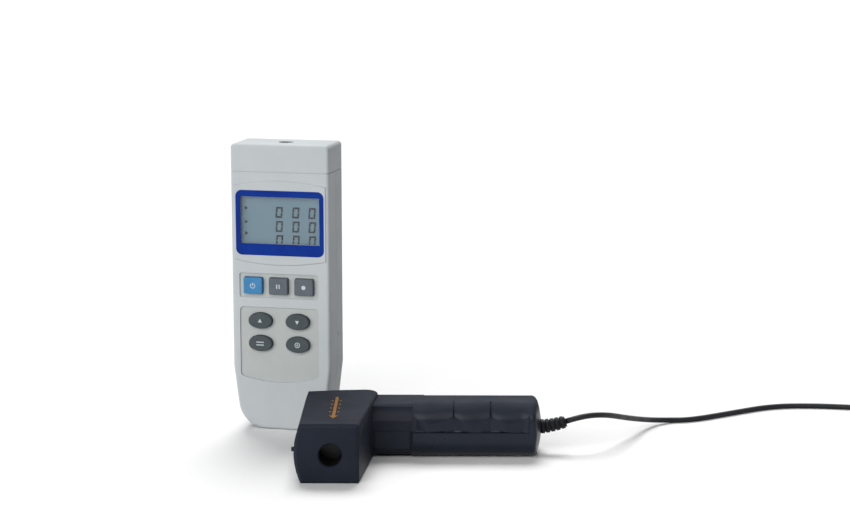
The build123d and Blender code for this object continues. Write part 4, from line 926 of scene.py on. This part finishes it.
def upper_cover():
    work = bmesh.new()
    work.from_mesh(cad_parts["probe_upper_shell"].data)
    bmesh.ops.remove_doubles(work, verts=work.verts, dist=MERGE_REACH)
    bmesh.ops.transform(work, matrix=PROBE_PLACE.inverted(), verts=work.verts)
    work.normal_update()
    for n in range(1, CUTS_ALONG):
        cut_grip(work, (GRIP_START + (GRIP_END - GRIP_START) * n / CUTS_ALONG, 0, 0), RIGHT)
    for n in range(1, CUTS_UP):
        cut_grip(work, (0, 0, (CUTS_FOOT + n) * MM), UP)
    bmesh.ops.remove_doubles(work, verts=work.verts, dist=SHORT_EDGE)
    for point in dict.fromkeys(point for face in grip_front(work) for point in face.verts):
        point.co.y += hollow(*point.co)
    bmesh.ops.transform(work, matrix=PROBE_PLACE, verts=work.verts)
    work.normal_update()
    mesh = bpy.data.meshes.new("probe_upper_cover")
    work.to_mesh(mesh)
    work.free()
    cover = new_piece("probe_upper_cover", mesh, grip_black)
    mesh.set_sharp_from_angle(angle=SHARP_ANGLE)
    cover.modifiers.new("even_normals", "WEIGHTED_NORMAL").keep_sharp = True
    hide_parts("probe_upper_shell")
    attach(cover, "probe")


# Socket on top, in millimetres: a hollow contact in each hole of its insert

CONTACTS = 5
CONTACT_CIRCLE = 2.7
FIRST_CONTACT_ANGLE = 30
CONTACT_ANGLE = 60
CONTACT_FLOOR_Z = 191.6
CONTACT_PROFILE = [(0.0, 0.55), (3.5, 0.55), (3.6, 0.48), (3.5, 0.36), (0.4, 0.34)]
CONTACT_SIDES = 16


def socket_contacts():
    for n in range(CONTACTS):
        angle = math.radians(FIRST_CONTACT_ANGLE + CONTACT_ANGLE * n)
        x, y = CONTACT_CIRCLE * math.cos(angle), CONTACT_CIRCLE * math.sin(angle)
        foot = Vector((x, y, CONTACT_FLOOR_Z)) * MM
        contact = turned(
            f"socket_contact_{n + 1}", in_metres(CONTACT_PROFILE),
            straight_line(foot, UP, RIGHT, AWAY), gold, CONTACT_SIDES,
        )
        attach(contact, "meter")


# Tripod bush on the back: the thread in its bore

THREAD_Z = 160.0 * MM
THREAD_RADIUS = 2.36 * MM
THREAD_PITCH = 1.27 * MM
THREAD_TURNS = 5
THREAD_STEPS = 24
THREAD_SIDES = 6
THREAD_THICKNESS = 0.23 * MM
THREAD_SUNK = 0.5 * MM


def tripod_thread():
    points = []
    for n in range(THREAD_STEPS * THREAD_TURNS + 1):
        angle = 2 * math.pi * n / THREAD_STEPS
        x, z = THREAD_RADIUS * math.cos(angle), THREAD_Z + THREAD_RADIUS * math.sin(angle)
        points.append(Vector((x, BACK_Y - THREAD_SUNK - THREAD_PITCH * n / THREAD_STEPS, z)))
    thread = tube("tripod_thread", points, THREAD_THICKNESS, brass, THREAD_SIDES)
    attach(thread, "meter")


# Sensor head, in millimetres: a plain printed arrow that points to the aperture

ARROW_X = 1.0
ARROW_TAIL_Y = -4.0
ARROW_HEAD_Y = -54.0
ARROW_TIP_Y = -61.0
ARROW_HALF_WIDTH = 1.0
ARROW_HEAD_HALF_WIDTH = 2.8
TICKS_X = 2.7
TICKS_Y = (-44.0, -34.0, -24.0, -14.0)
TICK_SIZE = (1.3, 1.6)
MARK_THICKNESS = 0.05


def head_arrow():
    thin, wide = ARROW_HALF_WIDTH, ARROW_HEAD_HALF_WIDTH
    arrow = [
        (0.0, ARROW_TIP_Y), (wide, ARROW_HEAD_Y), (thin, ARROW_HEAD_Y), (thin, ARROW_TAIL_Y),
        (-thin, ARROW_TAIL_Y), (-thin, ARROW_HEAD_Y), (-wide, ARROW_HEAD_Y),
    ]
    ticks = [rectangle(side * TICKS_X, y, *TICK_SIZE) for side in (-1, 1) for y in TICKS_Y]
    on_head = PROBE_PLACE @ Matrix.Translation((ARROW_X * MM, 0, HEAD_TOP))
    head_mark = flat_piece("head_arrow", [arrow] + ticks, MARK_THICKNESS, on_head, mark_orange)
    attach(head_mark, "probe")


# Floor, light and camera

def first_sight(tree, path):
    """1 until a ray has met a matt surface: what lies behind a window is lit like the rest."""
    return calculate(tree, "LESS_THAN", path.outputs["Diffuse Depth"], 0.5)


def seen_rays(tree):
    """1 for the rays that show the floor: the camera's, and those by way of gloss or glass."""
    path = tree.nodes.new("ShaderNodeLightPath")
    share = path.outputs["Is Camera Ray"]
    for name in ("Is Glossy Ray", "Is Transmission Ray"):
        share = calculate(tree, "MAXIMUM", share, path.outputs[name])
    return calculate(tree, "MULTIPLY", share, first_sight(tree, path))


def plain_floor():
    """A floor that looks white, and throws back less light than it would if it were."""
    mesh = bpy.data.meshes.new("floor")
    half = FLOOR_SIZE / 2
    corners = [(-half, -half, 0), (half, -half, 0), (half, half, 0), (-half, half, 0)]
    mesh.from_pydata(corners, [], [(0, 1, 2, 3)])
    material = bpy.data.materials.new("floor_white")
    material.use_nodes = True
    tree = material.node_tree
    shader = tree.nodes["Principled BSDF"]
    shader.inputs["Roughness"].default_value = FLOOR_ROUGHNESS
    shader.inputs["Specular IOR Level"].default_value = 0.0
    tone = tree.nodes.new("ShaderNodeMix")
    tone.data_type = "RGBA"
    tree.links.new(seen_rays(tree), tone.inputs["Factor"])
    tone.inputs["A"].default_value = (FLOOR_BOUNCE, FLOOR_BOUNCE, FLOOR_BOUNCE, 1)
    tone.inputs["B"].default_value = (FLOOR_SEEN, FLOOR_SEEN, FLOOR_SEEN, 1)
    tree.links.new(tone.outputs["Result"], shader.inputs["Base Color"])
    floor = new_piece("floor", mesh, material, smooth=False)


def studio_world():
    """A dim even sky, white to the camera and through glass, and in gloss beyond the object."""
    world = bpy.data.worlds.new("studio")
    world.use_nodes = True
    tree = world.node_tree
    background = tree.nodes["Background"]
    background.inputs["Color"].default_value = (1, 1, 1, 1)
    path = tree.nodes.new("ShaderNodeLightPath")
    way = tree.nodes.new("ShaderNodeSeparateXYZ")
    tree.links.new(
        tree.nodes.new("ShaderNodeTexCoord").outputs["Generated"], way.inputs["Vector"]
    )
    beyond = map_range(tree, way.outputs["Y"], SKY_TURN, (SKY_GLOSS, 1.0))
    strength = SKY_STRENGTH
    first = first_sight(tree, path)
    for name, seen in (
        ("Is Glossy Ray", beyond), ("Is Transmission Ray", 1.0), ("Is Camera Ray", 1.0),
    ):
        choice = tree.nodes.new("ShaderNodeMix")
        share = calculate(tree, "MULTIPLY", path.outputs[name], first)
        for socket, value in (("Factor", share), ("A", strength), ("B", seen)):
            set_socket(tree, choice.inputs[socket], value)
        strength = choice.outputs["Result"]
    tree.links.new(strength, background.inputs["Strength"])
    bpy.context.scene.world = world


def studio_lamps():
    for name, strength, angle, heading in LAMPS:
        lamp_data = bpy.data.lights.new(name, "SUN")
        lamp_data.energy = strength
        lamp_data.angle = math.radians(angle)
        lamp = bpy.data.objects.new(name, lamp_data)
        lamp.rotation_euler = Vector(heading).to_track_quat("-Z", "Y").to_euler()
        bpy.context.collection.objects.link(lamp)


def photo_camera():
    camera_data = bpy.data.cameras.new("camera")
    camera_data.lens = CAMERA_LENS
    camera = bpy.data.objects.new("camera", camera_data)
    camera.location = CAMERA_PLACE
    camera.rotation_euler = Euler((math.radians(90) - CAMERA_PITCH, 0, CAMERA_YAW))
    bpy.context.collection.objects.link(camera)
    bpy.context.scene.camera = camera
    bpy.context.scene.view_settings.view_transform = "Standard"


cord_pieces()
display_prints()
field_films()
key_legends()
upper_cover()
socket_contacts()
tripod_thread()
head_arrow()
plain_floor()
studio_world()
studio_lamps()
photo_camera()
